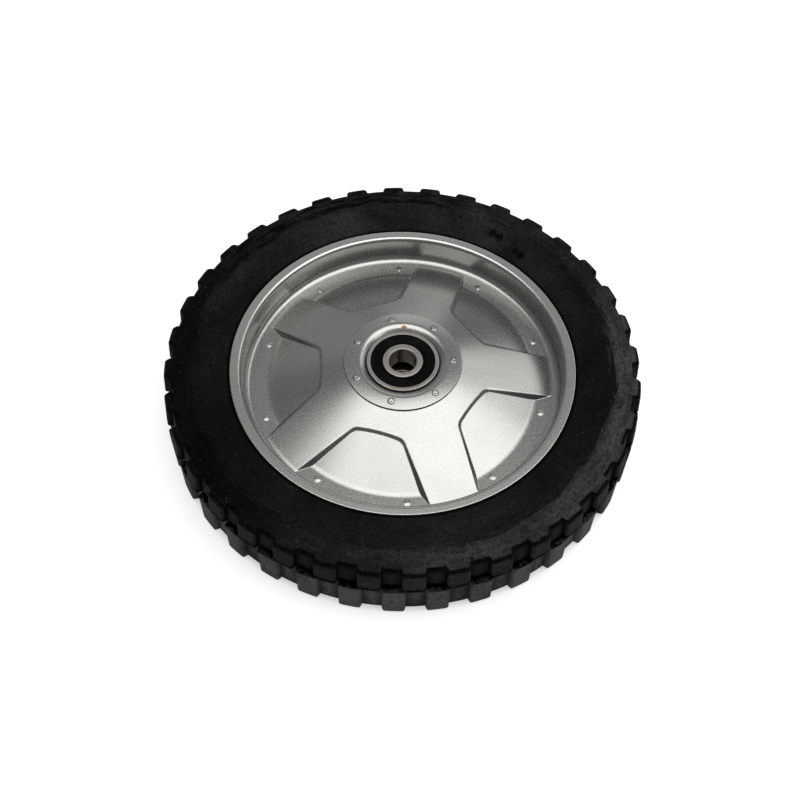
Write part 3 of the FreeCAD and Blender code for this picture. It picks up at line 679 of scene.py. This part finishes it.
def ground_steel(name, colour, low, high):
    """Steel ground about the axis, with fine rings, a polished bore with streaks of painted reflection, and
    painted shade on its outer corner.
    """
    colours = bpy.context.scene.wheel_finish
    size = bpy.context.scene.wheel_bearing
    made, tree, shader, where = new_material(name)
    away, parts = radius_of(tree, where)
    track = node(tree, "ShaderNodeCombineXYZ", {"X": away, "Y": parts["Z"]})[0]
    rings = noise(tree, track, 5200.0, 3.0)
    stain = noise(tree, where, 160.0, 5.0)
    shade = times(tree, spread(tree, rings, 0.3, 0.7, 0.86, 1.08), spread(tree, stain, 0.3, 0.7, 0.92, 1.04))
    inside = spread(tree, away, size.bore + 0.4 * MM, size.bore + 0.15 * MM)
    # Dark streaks along the bore are painted reflection
    streak_coordinates = node(tree, "ShaderNodeMapping", {"Vector": where, "Scale": (1.0, 1.0, 0.04)})[0]
    painted_reflection = times(tree, inside, spread(tree, noise(tree, streak_coordinates, 190.0, 1.0), 0.42, 0.54, 0.95, 0.0))
    # Dark outer corner of the outer ring: painted shade in the crevice beside the sleeve
    corner = spread(tree, away, size.outer - 0.32 * MM, size.outer - 0.15 * MM, 0.0, 0.85)
    ground = shaded(tree, colour, shade)
    for share, tone in ((inside, colours.bore), (painted_reflection, colours.streak), (corner, colours.crevice_shade)):
        ground = blend_colour(tree, share, ground, opaque(tone))
    fill(tree, shader, {
        "Base Color": ground,
        "Roughness": spread(tree, rings, 0.3, 0.7, low, high),
        "Normal": bump(tree, rings, 0.18, 0.03 * MM),
        "Metallic": 1.0,
    })
    return made


def seal_rubber():
    """Moulded black seal with faint mould rings, a little dust and painted shade at its edges."""
    colours = bpy.context.scene.wheel_finish
    size = bpy.context.scene.wheel_bearing
    made, tree, shader, where = new_material("seal_rubber")
    away = radius_of(tree, where)[0]
    film = group(tree, "dust_film", {"Vector": where, "Scale": 120.0, "Low": 0.5, "High": 0.8})["Film"]
    rings = maths(tree, "SINE", times(tree, away, 9000.0))
    # Darker edges of the seal are painted shade in the gaps beside the rings
    edges = larger(tree, spread(tree, away, size.inner_land + 1.3 * MM, size.inner_land + 1.0 * MM),
                   spread(tree, away, size.seal_seat - 0.5 * MM, size.seal_seat - 0.3 * MM))
    colour = blend_colour(tree, times(tree, film, 0.05), opaque(colours.seal), opaque(colours.dust))
    fill(tree, shader, {
        "Base Color": blend_colour(tree, edges, colour, opaque(colours.seal_edge_shade)),
        "Roughness": spread(tree, film, 0.0, 1.0, 0.38, 0.6),
        "Normal": bump(tree, rings, 0.05, 0.05 * MM),
        "Specular IOR Level": 0.05,
    })
    return made


# Operators

class WHEEL_OT_tyre(bpy.types.Operator):
    """Moulded tyre with two staggered rows of tread blocks"""
    bl_idname = "wheel.tyre"
    bl_label = "Tyre"

    def execute(self, context):
        size = context.scene.wheel_tyre
        shoulder_height = size.half_width - size.fall
        edge = size.radius - size.crown
        front_shoulder = edge - size.bevel_depth
        front_edge_height = shoulder_height - size.bevel_height
        rear_edge = size.radius - size.rear_fall
        ridge = front_shoulder - size.band
        mesh = self.half(size, 1, ridge, front_shoulder, (edge, front_edge_height), 0.0)
        rear = self.half(size, -1, ridge, rear_edge, (rear_edge, shoulder_height),
                         math.pi / size.blocks + size.rear_turn)
        join(mesh, rear)
        soften(mesh, degrees=46)
        piece = finish_piece(mesh, "tyre_moulding", "wheel", ["tyre"], [tyre_rubber()])
        piece.modifiers.new("even_shading", "WEIGHTED_NORMAL").keep_sharp = True
        return {"FINISHED"}

    def half(self, size, side, ridge, shoulder, edge, shift):
        """Front or rear half of the tyre up to the split line, with its row of blocks."""
        split = size.split * side
        shoulder_height = size.half_width - size.fall
        mouth = shoulder - size.depth
        mouth_height = shoulder_height + size.fall * size.depth / (shoulder - ridge)
        bore = size.seat_foot + (size.seat_top - size.seat_foot) * max(split, 0) / size.seat_height
        outline = [(size.lip, size.lip_height)]
        for radius in steps(size.lip, ridge, 8)[1:]:
            share = (radius - size.lip) / (ridge - size.lip)
            hollow = size.sag * math.sin(math.pi * share)
            outline.append((radius, size.lip_height + (size.half_width - size.lip_height) * share - hollow))
        groove = size.groove
        outline += [(ridge - groove, size.half_width - 0.1 * groove), (ridge, size.half_width - groove),
                    (ridge + groove, size.half_width - 0.1 * groove), (mouth, mouth_height),
                    (shoulder, shoulder_height)]
        for height in steps(edge[1], split, 5) + [split]:
            share = (edge[1] - height) / (edge[1] - split)
            outline.append((edge[0] + (size.radius - edge[0]) * share, height))
        outline += [(mouth - size.depth, split), (bore, split)]
        if side < 0:
            outline.append((size.seat_foot, 0.0))
        outline += [(size.seat_top, size.seat_height - size.bead),
                    (size.seat_top + size.bead, size.seat_height), (size.lip, size.seat_height)]
        pitch = 2 * math.pi / size.blocks
        top = size.block_angle / 2 - size.wall_lean / size.radius
        foot = size.block_angle / 2 + size.wall_lean / size.radius
        columns = [0.0, top / 2, top, foot, pitch / 2, pitch - foot, pitch - top, pitch - top / 2]
        gap_columns = (3, 4, 5)
        gap_middle = 4
        close = 0.01 * MM
        inset = 0.5 * MM
        mesh = spun([(radius, side * height) for radius, height in outline],
                    size.blocks * len(columns), size.blocks)
        pocket = mesh.verts.layers.float.new("pocket")
        for vert in mesh.verts:
            away = from_axis(vert)
            index = round(math.atan2(vert.co.y, vert.co.x) % (2 * math.pi) / pitch * len(columns))
            column = index % len(columns)
            angle = columns[column] + pitch * (index // len(columns)) + shift + size.lead
            if column in gap_columns and away > mouth + close:
                away -= size.depth
                if column == gap_middle and split + inset < side * vert.co.z < edge[1] - inset:
                    vert[pocket] = 1.0
                if abs(side * vert.co.z - shoulder_height) < close:
                    vert.co.z = side * mouth_height
            vert.co.x = away * math.cos(angle)
            vert.co.y = away * math.sin(angle)
        bmesh.ops.remove_doubles(mesh, verts=mesh.verts, dist=MERGE)
        bmesh.ops.recalc_face_normals(mesh, faces=mesh.faces)
        sharp = math.radians(26)
        margin = 0.1 * MM
        corners = []
        for line in mesh.edges:
            reach = [from_axis(end) for end in line.verts]
            on_blocks = min(reach) > mouth - margin and max(reach) > mouth + margin
            if on_blocks and line.is_convex and line.calc_face_angle(0) > sharp:
                corners.append(line)
        made = bmesh.ops.bevel(mesh, geom=corners, offset=size.block_round, segments=3, profile=0.5,
                               affect="EDGES", material=-1, clamp_overlap=True)
        # The rounded block edges carry a share of painted highlight
        highlight_layer = mesh.verts.layers.float.new("edge_highlight")
        for face in made["faces"]:
            for vert in face.verts:
                vert[highlight_layer] = 1.0
        return mesh


def share_between(value, start, end):
    """Share of the way from start to end, held at both."""
    return min(max((value - start) / (end - start), 0.0), 1.0)


def swell(share):
    """Smooth fall from 1 at the middle of a dimple to 0 at its foot."""
    return 0.5 + 0.5 * math.cos(math.pi * share)


def star_lines(size):
    """Slope of the star, panel rise, lean and taper of the spoke sides, and reach of the spoke root."""
    half_sector = math.pi / size.spokes
    slope = (size.land - size.sheet) / (size.fade - size.land_radius)
    rise = size.land - size.panel_step - size.sheet - slope * (size.panel_edge - size.land_radius)
    lean = math.tan(size.draft)
    root = (size.panel_edge - size.spoke_root * math.sin(half_sector)) / math.cos(half_sector)
    taper = (size.spoke_root + rise * lean - size.spoke_end) / (size.fade - root)
    return StarLines(slope, rise, lean, taper, root)


def star_height(size, lines, across, along):
    """Height of the pressed front face at a place on the disc."""
    away = math.hypot(across, along)
    sector = 2 * math.pi / size.spokes
    around = (math.atan2(along, across) + sector / 2) % sector - sector / 2
    spoke_along = away * math.cos(around)
    spoke_side = abs(away * math.sin(around))
    sloped = size.land - lines.slope * (away - size.land_radius) - size.land_step
    star = smooth_low(size.land, sloped, size.land_round)
    if away < size.panel_edge - size.edge_clear:
        return star
    face = size.sheet
    if away >= size.fade:
        return face
    panel = face + lines.rise * (size.panel_arc - away) / (size.panel_arc - size.panel_edge)
    panel = smooth_high(face, panel, size.arc_round)
    spoke_wall = size.spoke_end + lines.taper * (size.fade - spoke_along) - spoke_side
    spoke_wall *= math.cos(math.atan(lines.taper))
    middle_wall = size.panel_edge + lines.rise * lines.lean
    middle_wall -= spoke_along * math.cos(sector / 2) + spoke_side * math.sin(sector / 2)
    wall = face + smooth_high(spoke_wall, middle_wall, size.corner_round) / lines.lean
    raised = smooth_low(star, wall, size.edge_round)
    return max(face, smooth_high(panel, raised, size.foot_round))


def spoke_edge(size, lines, away):
    """Angle from the middle of a spoke to its pressed side at a radius, and half the width of that side."""
    away = min(max(away, math.hypot(lines.root, size.spoke_root)), size.fade)
    star = lines.slope * (size.fade - away)
    panel = max(lines.rise * (size.panel_arc - away) / (size.panel_arc - size.panel_edge), 0.0)
    inset = lines.lean * (star + panel) / 2 / math.cos(math.atan(lines.taper))
    # A rough angle in radians, which each attempt brings closer
    angle = 0.25
    for attempt in range(4):
        width = size.spoke_end + lines.taper * (size.fade - away * math.cos(angle))
        angle = math.asin((width - inset) / away)
    rounding = 0.4 * MM
    return angle, (lines.lean * (star - panel) / 2 + rounding) / away


def wall_corners(size):
    """Corners of a pressed wall and lip, from the flat ring up, over the lip and back under the sheet."""
    return [
        (size.wall_foot, size.sheet, size.foot_bend),
        (size.wall_top, size.lip_height, size.lip_bend),
        # Two plain points keep the shading of the lip flat
        (size.wall_top + 1.1 * size.lip_bend, size.lip_height),
        (size.lip - 0.6 * MM, size.lip_height),
        (size.lip, size.lip_height, 0.4 * MM),
        (size.lip, size.lip_height - size.sheet, 0.2 * MM),
        (size.wall_top + size.sheet, size.lip_height - size.sheet, 0.4 * MM),
        (size.wall_foot + size.sheet, 0.0, size.foot_bend + size.sheet),
    ]


class WHEEL_OT_front_rim(bpy.types.Operator):
    """Pressed front rim with its star, panels, wall, lip and weld dimples"""
    bl_idname = "wheel.front_rim"
    bl_label = "Front rim"

    columns_per_sector = 140
    # Shares of the columns, from the middle of a spoke, that lie on its top and on its side
    top_share = 0.22
    side_share = 0.32
    # Radii where the rows start to bow along the straight panel edges, bow in full, ease off and end
    bow_start = 28.0 * MM
    bow_full = 34.0 * MM
    bow_ease = 38.5 * MM
    bow_end = 52.0 * MM

    def execute(self, context):
        size = context.scene.wheel_rim
        lines = star_lines(size)
        flat_end = size.wall_foot - size.foot_bend
        top = [(radius, size.sheet) for radius in self.rows(size, flat_end)]
        back_rows = graded(size.hole, [
            (size.panel_edge - 2.95 * MM, 3),
            (size.panel_edge + 5.05 * MM, 5),
            (flat_end, 7),
        ])
        back = [(radius, 0.0) for radius in reversed(back_rows)]
        wall = rounded([(flat_end, size.sheet)] + wall_corners(size) + [(flat_end, 0.0)])
        mesh = spun(top + wall + back, self.columns_per_sector * size.spokes, size.spokes)
        sides = {}
        for vert in mesh.verts:
            away = from_axis(vert)
            row = round(away / MM, 3)
            if row not in sides:
                sides[row] = spoke_edge(size, lines, away)
            reach, angle = self.settled(size, lines, away, math.atan2(vert.co.y, vert.co.x), *sides[row])
            vert.co.x = reach * math.cos(angle)
            vert.co.y = reach * math.sin(angle)
            if away < flat_end - 0.01 * MM:
                vert.co.z += star_height(size, lines, vert.co.x, vert.co.y) - size.sheet
        self.darken(mesh, size)
        places = []
        half_sector = math.pi / size.spokes
        seat = Matrix.Translation((size.weld_circle, 0, size.sheet))
        for index in range(size.spokes):
            for side in (-1, 1):
                angle = half_sector * (2 * index + 1) + side * size.weld_angle
                places.append(Matrix.Rotation(angle, 4, "Z") @ seat)
        dimple = []
        for share in steps(0.0, 1.0, 8) + [1.0]:
            # Painted shade around the foot of each dimple
            painted_shade = max(share - 0.6, 0.0)
            dimple.append((size.weld_radius * share, size.weld_rise * swell(share) - DIMPLE_SINK, painted_shade))
        place_dimples(mesh, places, dimple)
        soften(mesh, degrees=40)
        finish_piece(mesh, "front_rim_pressing", "wheel", ["front_rim"],
                     [silver_paint("rim_paint")])
        return {"FINISHED"}

    def rows(self, size, flat_end):
        """Radii of the grid rows, close together at the land edge, the panel edge and the panel arc."""
        return graded(size.hole, [
            (size.land_radius - 0.8 * MM, 2),
            (size.land_radius + 1.2 * MM, 10),
            (size.panel_edge - 2.95 * MM, 3),
            (size.panel_edge - 1.35 * MM, 4),
            (size.panel_edge + 0.65 * MM, 16),
            (size.panel_edge + 5.05 * MM, 8),
            (size.panel_arc - 1.5 * MM, 13),
            (size.panel_arc + 1.5 * MM, 7),
            (flat_end, 8),
        ])

    def settled(self, size, lines, away, angle, side, half_side):
        """Grid place moved so that columns follow the spoke sides, and rows the straight panel edges."""
        half_sector = math.pi / size.spokes
        middle = round(angle / (2 * half_sector)) * 2 * half_sector
        share = abs(angle - middle) / half_sector
        panel_start = self.top_share + self.side_share
        if share < self.top_share:
            turned = share / self.top_share * (side - half_side)
        elif share < panel_start:
            turned = side - half_side + (share - self.top_share) / self.side_share * 2 * half_side
        else:
            turned = half_sector - (1 - share) / (1 - panel_start) * (half_sector - side - half_side)
        corner = half_sector - math.atan2(size.spoke_root, lines.root)
        bow = 1 / math.cos(min(half_sector - turned, corner)) - 1
        bow *= share_between(away, self.bow_start, self.bow_full)
        bow *= share_between(away, self.bow_end, self.bow_ease)
        return away * (1 + bow), middle + math.copysign(turned, angle - middle)

    def darken(self, mesh, size):
        """Marks painted shade on the steep steps of the star, more of it away from the hub, and on the
        upright rim wall.
        """
        shallow = 27.0
        steep = 43.0
        least = 0.3
        full_radius = size.panel_edge + 9.0 * MM
        mesh.normal_update()
        step = mesh.verts.layers.float.new("shade_share")
        for vert in mesh.verts:
            away = from_axis(vert)
            upward = vert.normal.z
            if upward > 0.1 and away < size.fade:
                depth = max(share_between(away, size.panel_edge, full_radius), least)
                tilt = math.degrees(math.acos(min(upward, 1.0)))
                vert[step] = depth * share_between(tilt, shallow, steep)
            elif abs(upward) < 0.4:
                vert[step] = 0.8 - 2 * abs(upward)


class WHEEL_OT_rear_rim(bpy.types.Operator):
    """Pressed rear rim ring"""
    bl_idname = "wheel.rear_rim"
    bl_label = "Rear rim"

    def execute(self, context):
        size = context.scene.wheel_rim
        edge_round = 0.2 * MM
        ring = [(size.rear_ring, size.sheet, edge_round)] + wall_corners(size)
        ring.append((size.rear_ring, 0.0, edge_round))
        mesh = spun([(point[0], -point[1]) for point in rounded(ring)], columns=320)
        soften(mesh, degrees=40)
        finish_piece(mesh, "rear_rim_pressing", "wheel", ["rear_rim"],
                     [bpy.data.materials["rim_paint"]])
        return {"FINISHED"}


class WHEEL_OT_hub_sleeve(bpy.types.Operator):
    """Flanged hub sleeve with its weld dimples"""
    bl_idname = "wheel.hub_sleeve"
    bl_label = "Hub sleeve"

    def execute(self, context):
        size = context.scene.wheel_rim
        bearing = context.scene.wheel_bearing
        slope = math.tan(size.flange_lean)
        corner_height = size.flange_height + slope * (size.flange - size.roll_corner)
        stop_front = bearing.front_plane - bearing.width / 2
        stop_rear = bearing.rear_plane + bearing.width / 2
        mesh = spun(rounded([
            (size.seat, -size.sleeve_end, 0.3 * MM),
            (size.sleeve, -size.sleeve_end, 0.3 * MM),
            (size.sleeve, size.land, 1.6 * MM),
            (size.flange, size.land, 0.2 * MM),
            (size.flange, size.flange_height, 0.35 * MM),
            (size.roll_corner, corner_height, size.flange_roll),
            (size.roll_foot, size.roll_foot_height, 0.2 * MM),
            (size.seat, size.roll_foot_height - 0.6 * MM),
            (size.seat, stop_front),
            (size.stop, stop_front, 0.2 * MM),
            (size.stop, stop_rear, 0.2 * MM),
            (size.seat, stop_rear),
        ], segments=8), columns=256)
        step = mesh.verts.layers.float.new("shade_share")
        mesh.normal_update()
        # Painted shade along the upright edge of the flange
        for vert in mesh.verts:
            if from_axis(vert) > size.flange - 0.3 * MM and abs(vert.normal.z) < 0.75:
                vert[step] = 2.0
        weld_seat = size.flange_height + slope * (size.flange - size.hub_weld_circle)
        seat = Matrix.Translation((size.hub_weld_circle, 0, weld_seat))
        seat = seat @ Matrix.Rotation(size.flange_lean, 4, "Y")
        places = []
        for index in range(size.hub_welds):
            angle = size.hub_weld_turn + 2 * math.pi * index / size.hub_welds
            places.append(Matrix.Rotation(angle, 4, "Z") @ seat)
        place_dimples(mesh, places, self.dimple(size))
        soften(mesh, degrees=40)
        finish_piece(mesh, "hub_sleeve_flange", "wheel", ["hub_sleeve"],
                     [silver_paint("hub_paint")])
        return {"FINISHED"}

    def dimple(self, size):
        """Outline of a flat-topped dimple with a small pit, and painted shade in the pit and around the
        foot.
        """
        outline = []
        for share in steps(0.0, 1.0, 14) + [1.0]:
            crown = size.hub_weld_rise * swell(share_between(share, 0.6, 1.0))
            pit = 0.3 * size.hub_weld_rise * max(0.0, 1 - (share / 0.3) ** 2)
            painted_shade = max(1.2 - 6 * share, 6 * (share - 0.7), 0.0)
            outline.append((size.hub_weld_radius * share, crown - pit - DIMPLE_SINK, painted_shade))
        return outline


class WHEEL_OT_bearings(bpy.types.Operator):
    """Rings and seals of both bearings"""
    bl_idname = "wheel.bearings"
    bl_label = "Bearings"

    def execute(self, context):
        size = context.scene.wheel_bearing
        colours = context.scene.wheel_finish
        steel = ground_steel("bearing_steel", colours.steel, 0.26, 0.4)
        seal = seal_rubber()
        for place, height in (("front", size.front_plane), ("rear", size.rear_plane)):
            self.rings(size, place, height, steel)
            for side, outward in (("outside", place == "front"), ("inside", place == "rear")):
                self.seal(size, "%s_seal_%s" % (place, side), height, 1 if outward else -1, seal)
        return {"FINISHED"}

    def rings(self, size, place, height, steel):
        """Outer and inner ring, each with its ball track."""
        half = size.width / 2
        shelf = half - size.seal_recess - size.seal_thickness
        chamfer = size.chamfer

        def mirrored(corners):
            """Corners, then their images on the other side of the bearing's middle."""
            return corners + [(corner[0], -corner[1], *corner[2:]) for corner in reversed(corners)]

        def track(land, side):
            """Hollow that the balls run in, cut into a ring's shoulder."""
            reach = math.sqrt(size.track ** 2 - (land - size.ball_circle) ** 2)
            return [(size.ball_circle + side * math.sqrt(size.track ** 2 - along ** 2), side * along)
                    for along in steps(-reach, reach, 10) + [reach]]

        outer = rounded(mirrored([
            (size.outer_land, shelf),
            (size.seal_seat, shelf),
            (size.seal_seat, half, 0.12 * MM),
            (size.outer - chamfer, half, 0.25 * MM),
            (size.outer, half - chamfer, 0.3 * MM),
        ]) + track(size.outer_land, 1), segments=4)
        inner = rounded(mirrored([
            (size.inner_land, -half, 0.15 * MM),
            (size.bore + chamfer, -half, 0.25 * MM),
            (size.bore, chamfer - half, 0.3 * MM),
        ]) + track(size.inner_land, -1), segments=4)
        for outline, name, body in ((outer, place + "_outer_ring", "wheel"),
                                    (inner, place + "_inner_ring", place + "_inner")):
            mesh = spun([(point[0], point[1] + height) for point in outline], columns=192)
            soften(mesh, degrees=35)
            finish_piece(mesh, name + "_turned", body, [name], [steel])

    def seal(self, size, name, height, facing, material):
        """Moulded seal with a raised band, a dished middle and a thin lip."""
        face = size.width / 2 - size.seal_recess
        back = face - size.seal_thickness
        outer = size.seal_seat - 0.03 * MM
        inner = size.inner_land + 0.1 * MM
        outline = rounded([
            (inner, back), (outer, back), (outer, face, 0.15 * MM),
            (outer - 0.5 * MM, face, 0.1 * MM), (outer - 0.7 * MM, face - 0.12 * MM, 0.1 * MM),
            (inner + 1.25 * MM, face - 0.05 * MM, 0.1 * MM), (inner + 1.05 * MM, face - 0.22 * MM, 0.1 * MM),
            (inner, face - 0.2 * MM, 0.1 * MM),
        ], segments=4)
        mesh = spun([(point[0], facing * point[1] + height) for point in outline], columns=192)
        soften(mesh, degrees=35)
        finish_piece(mesh, name + "_moulded", "wheel", [name], [material])


class WHEEL_OT_inner_works(bpy.types.Operator):
    """Finish of the balls and cages inside the bearings"""
    bl_idname = "wheel.inner_works"
    bl_label = "Balls and cages"

    def execute(self, context):
        colours = context.scene.wheel_finish
        cage = ground_steel("cage_steel", colours.cage, 0.34, 0.5)
        ball = ground_steel("ball_steel", colours.steel, 0.08, 0.14)
        for name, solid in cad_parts.items():
            if "_cage_" in name or "_ball_" in name:
                solid.data.materials.clear()
                solid.data.materials.append(cage if "_cage_" in name else ball)
        return {"FINISHED"}


class WHEEL_OT_stage(bpy.types.Operator):
    """Pale floor, soft studio light and the camera"""
    bl_idname = "wheel.stage"
    bl_label = "Stage"

    floor_glow = 0.62
    world_glow = 0.16
    # Name, place and size in metres, and power in watts
    lamps = (
        ("key_light", (0.15, -0.015, 0.97), (1.5, 0.73), 8.0),
        ("side_light", (0.82, 0.62, 0.72), (0.6, 0.6), 1.3),
        ("back_light", (0.2, 1.25, 0.7), (0.55, 0.7), 0.75),
        ("fill_light", (-0.45, 1.1, 0.7), (1.2, 0.8), 0.55),
    )

    def execute(self, context):
        self.floor(context.scene.wheel_finish)
        self.world(context.scene)
        for name, place, extent, power in self.lamps:
            self.lamp(name, place, extent, power)
        self.camera(context.scene)
        context.scene.view_settings.view_transform = "Standard"
        return {"FINISHED"}

    def floor(self, colours):
        """Large pale floor that glows around the wheel and keeps the shadow."""
        mesh = bmesh.new()
        bmesh.ops.create_grid(mesh, x_segments=1, y_segments=1, size=4.0)
        bmesh.ops.translate(mesh, verts=mesh.verts, vec=(0, 0, CAD_LOW.z))
        data = bpy.data.meshes.new("studio_floor")
        mesh.to_mesh(data)
        mesh.free()
        floor = bpy.data.objects.new("studio_floor", data)
        bpy.context.scene.collection.objects.link(floor)
        made, tree, shader, where = new_material("studio_floor")
        open_floor = spread(tree, radius_of(tree, where)[0], 0.9 * CAD_HIGH.x, CAD_HIGH.x)
        path = node(tree, "ShaderNodeLightPath", {})
        seen = larger(tree, path["Is Camera Ray"], path["Is Glossy Ray"])
        seen = larger(tree, seen, path["Is Transmission Ray"])
        fill(tree, shader, {
            "Base Color": opaque(colours.floor),
            "Roughness": 0.9,
            "Specular IOR Level": 0.1,
            "Emission Color": (1, 1, 1, 1),
            "Emission Strength": times(tree, seen, open_floor, self.floor_glow),
        })
        data.materials.append(made)

    def world(self, scene):
        """Plain pale grey surroundings."""
        made = bpy.data.worlds.new("studio_world")
        made.use_nodes = True
        back = made.node_tree.nodes["Background"]
        back.inputs["Color"].default_value = (1, 1, 1, 1)
        back.inputs["Strength"].default_value = self.world_glow
        scene.world = made

    def lamp(self, name, place, extent, power):
        """Soft box that looks at the wheel."""
        data = bpy.data.lights.new(name, "AREA")
        data.shape = "RECTANGLE"
        data.size, data.size_y = extent
        data.energy = power
        lamp = bpy.data.objects.new(name, data)
        back = Vector(place).normalized()
        right = Vector((0, 1, 0)).cross(back).normalized()
        turned = Matrix((right, back.cross(right), back)).transposed().to_4x4()
        lamp.matrix_world = Matrix.Translation(place) @ turned
        bpy.context.scene.collection.objects.link(lamp)

    def camera(self, scene):
        """Camera of the photograph: seen from the front, about 56 degrees above the floor."""
        data = bpy.data.cameras.new("photo_camera")
        data.sensor_width = 36.0
        data.lens = 54.46
        data.clip_start = 0.01
        camera = bpy.data.objects.new("photo_camera", data)
        # Axes and place fitted to the photograph
        right = Vector((0.999548, -0.027014, 0.01316))
        upward = Vector((0.015193, 0.832181, 0.554296))
        back = Vector((-0.025925, -0.553846, 0.832215))
        turned = Matrix((right, upward, back)).transposed().to_4x4()
        camera.matrix_world = Matrix.Translation((-0.01507, -0.30433, 0.44142)) @ turned
        scene.collection.objects.link(camera)
        scene.camera = camera


class WHEEL_PT_sidebar(bpy.types.Panel):
    """Lists the pieces of the wheel"""
    bl_idname = "WHEEL_PT_sidebar"
    bl_label = "Mower wheel"
    bl_space_type = "VIEW_3D"
    bl_region_type = "UI"
    bl_category = "Wheel"

    def draw(self, context):
        for operator in OPERATORS:
            self.layout.operator(operator.bl_idname)
        for key in SETTINGS:
            settings = getattr(context.scene, key)
            box = self.layout.box()
            for name in settings.__annotations__:
                box.prop(settings, name)


SETTINGS = {"wheel_tyre": WheelTyreSizes, "wheel_rim": WheelRimSizes, "wheel_bearing": WheelBearingSizes,
            "wheel_finish": WheelFinish}
OPERATORS = (WHEEL_OT_tyre, WHEEL_OT_front_rim, WHEEL_OT_rear_rim, WHEEL_OT_hub_sleeve, WHEEL_OT_bearings,
             WHEEL_OT_inner_works, WHEEL_OT_stage)
CLASSES = (*SETTINGS.values(), *OPERATORS, WHEEL_PT_sidebar)


def register():
    for made in CLASSES:
        bpy.utils.register_class(made)
    for key, settings in SETTINGS.items():
        setattr(bpy.types.Scene, key, PointerProperty(type=settings))


def unregister():
    for key in SETTINGS:
        delattr(bpy.types.Scene, key)
    for made in reversed(CLASSES):
        bpy.utils.unregister_class(made)


def main():
    register()
    bpy.ops.wheel.tyre()
    bpy.ops.wheel.front_rim()
    bpy.ops.wheel.rear_rim()
    bpy.ops.wheel.hub_sleeve()
    bpy.ops.wheel.bearings()
    bpy.ops.wheel.inner_works()
    bpy.ops.wheel.stage()


if __name__ == "__main__":
    main()
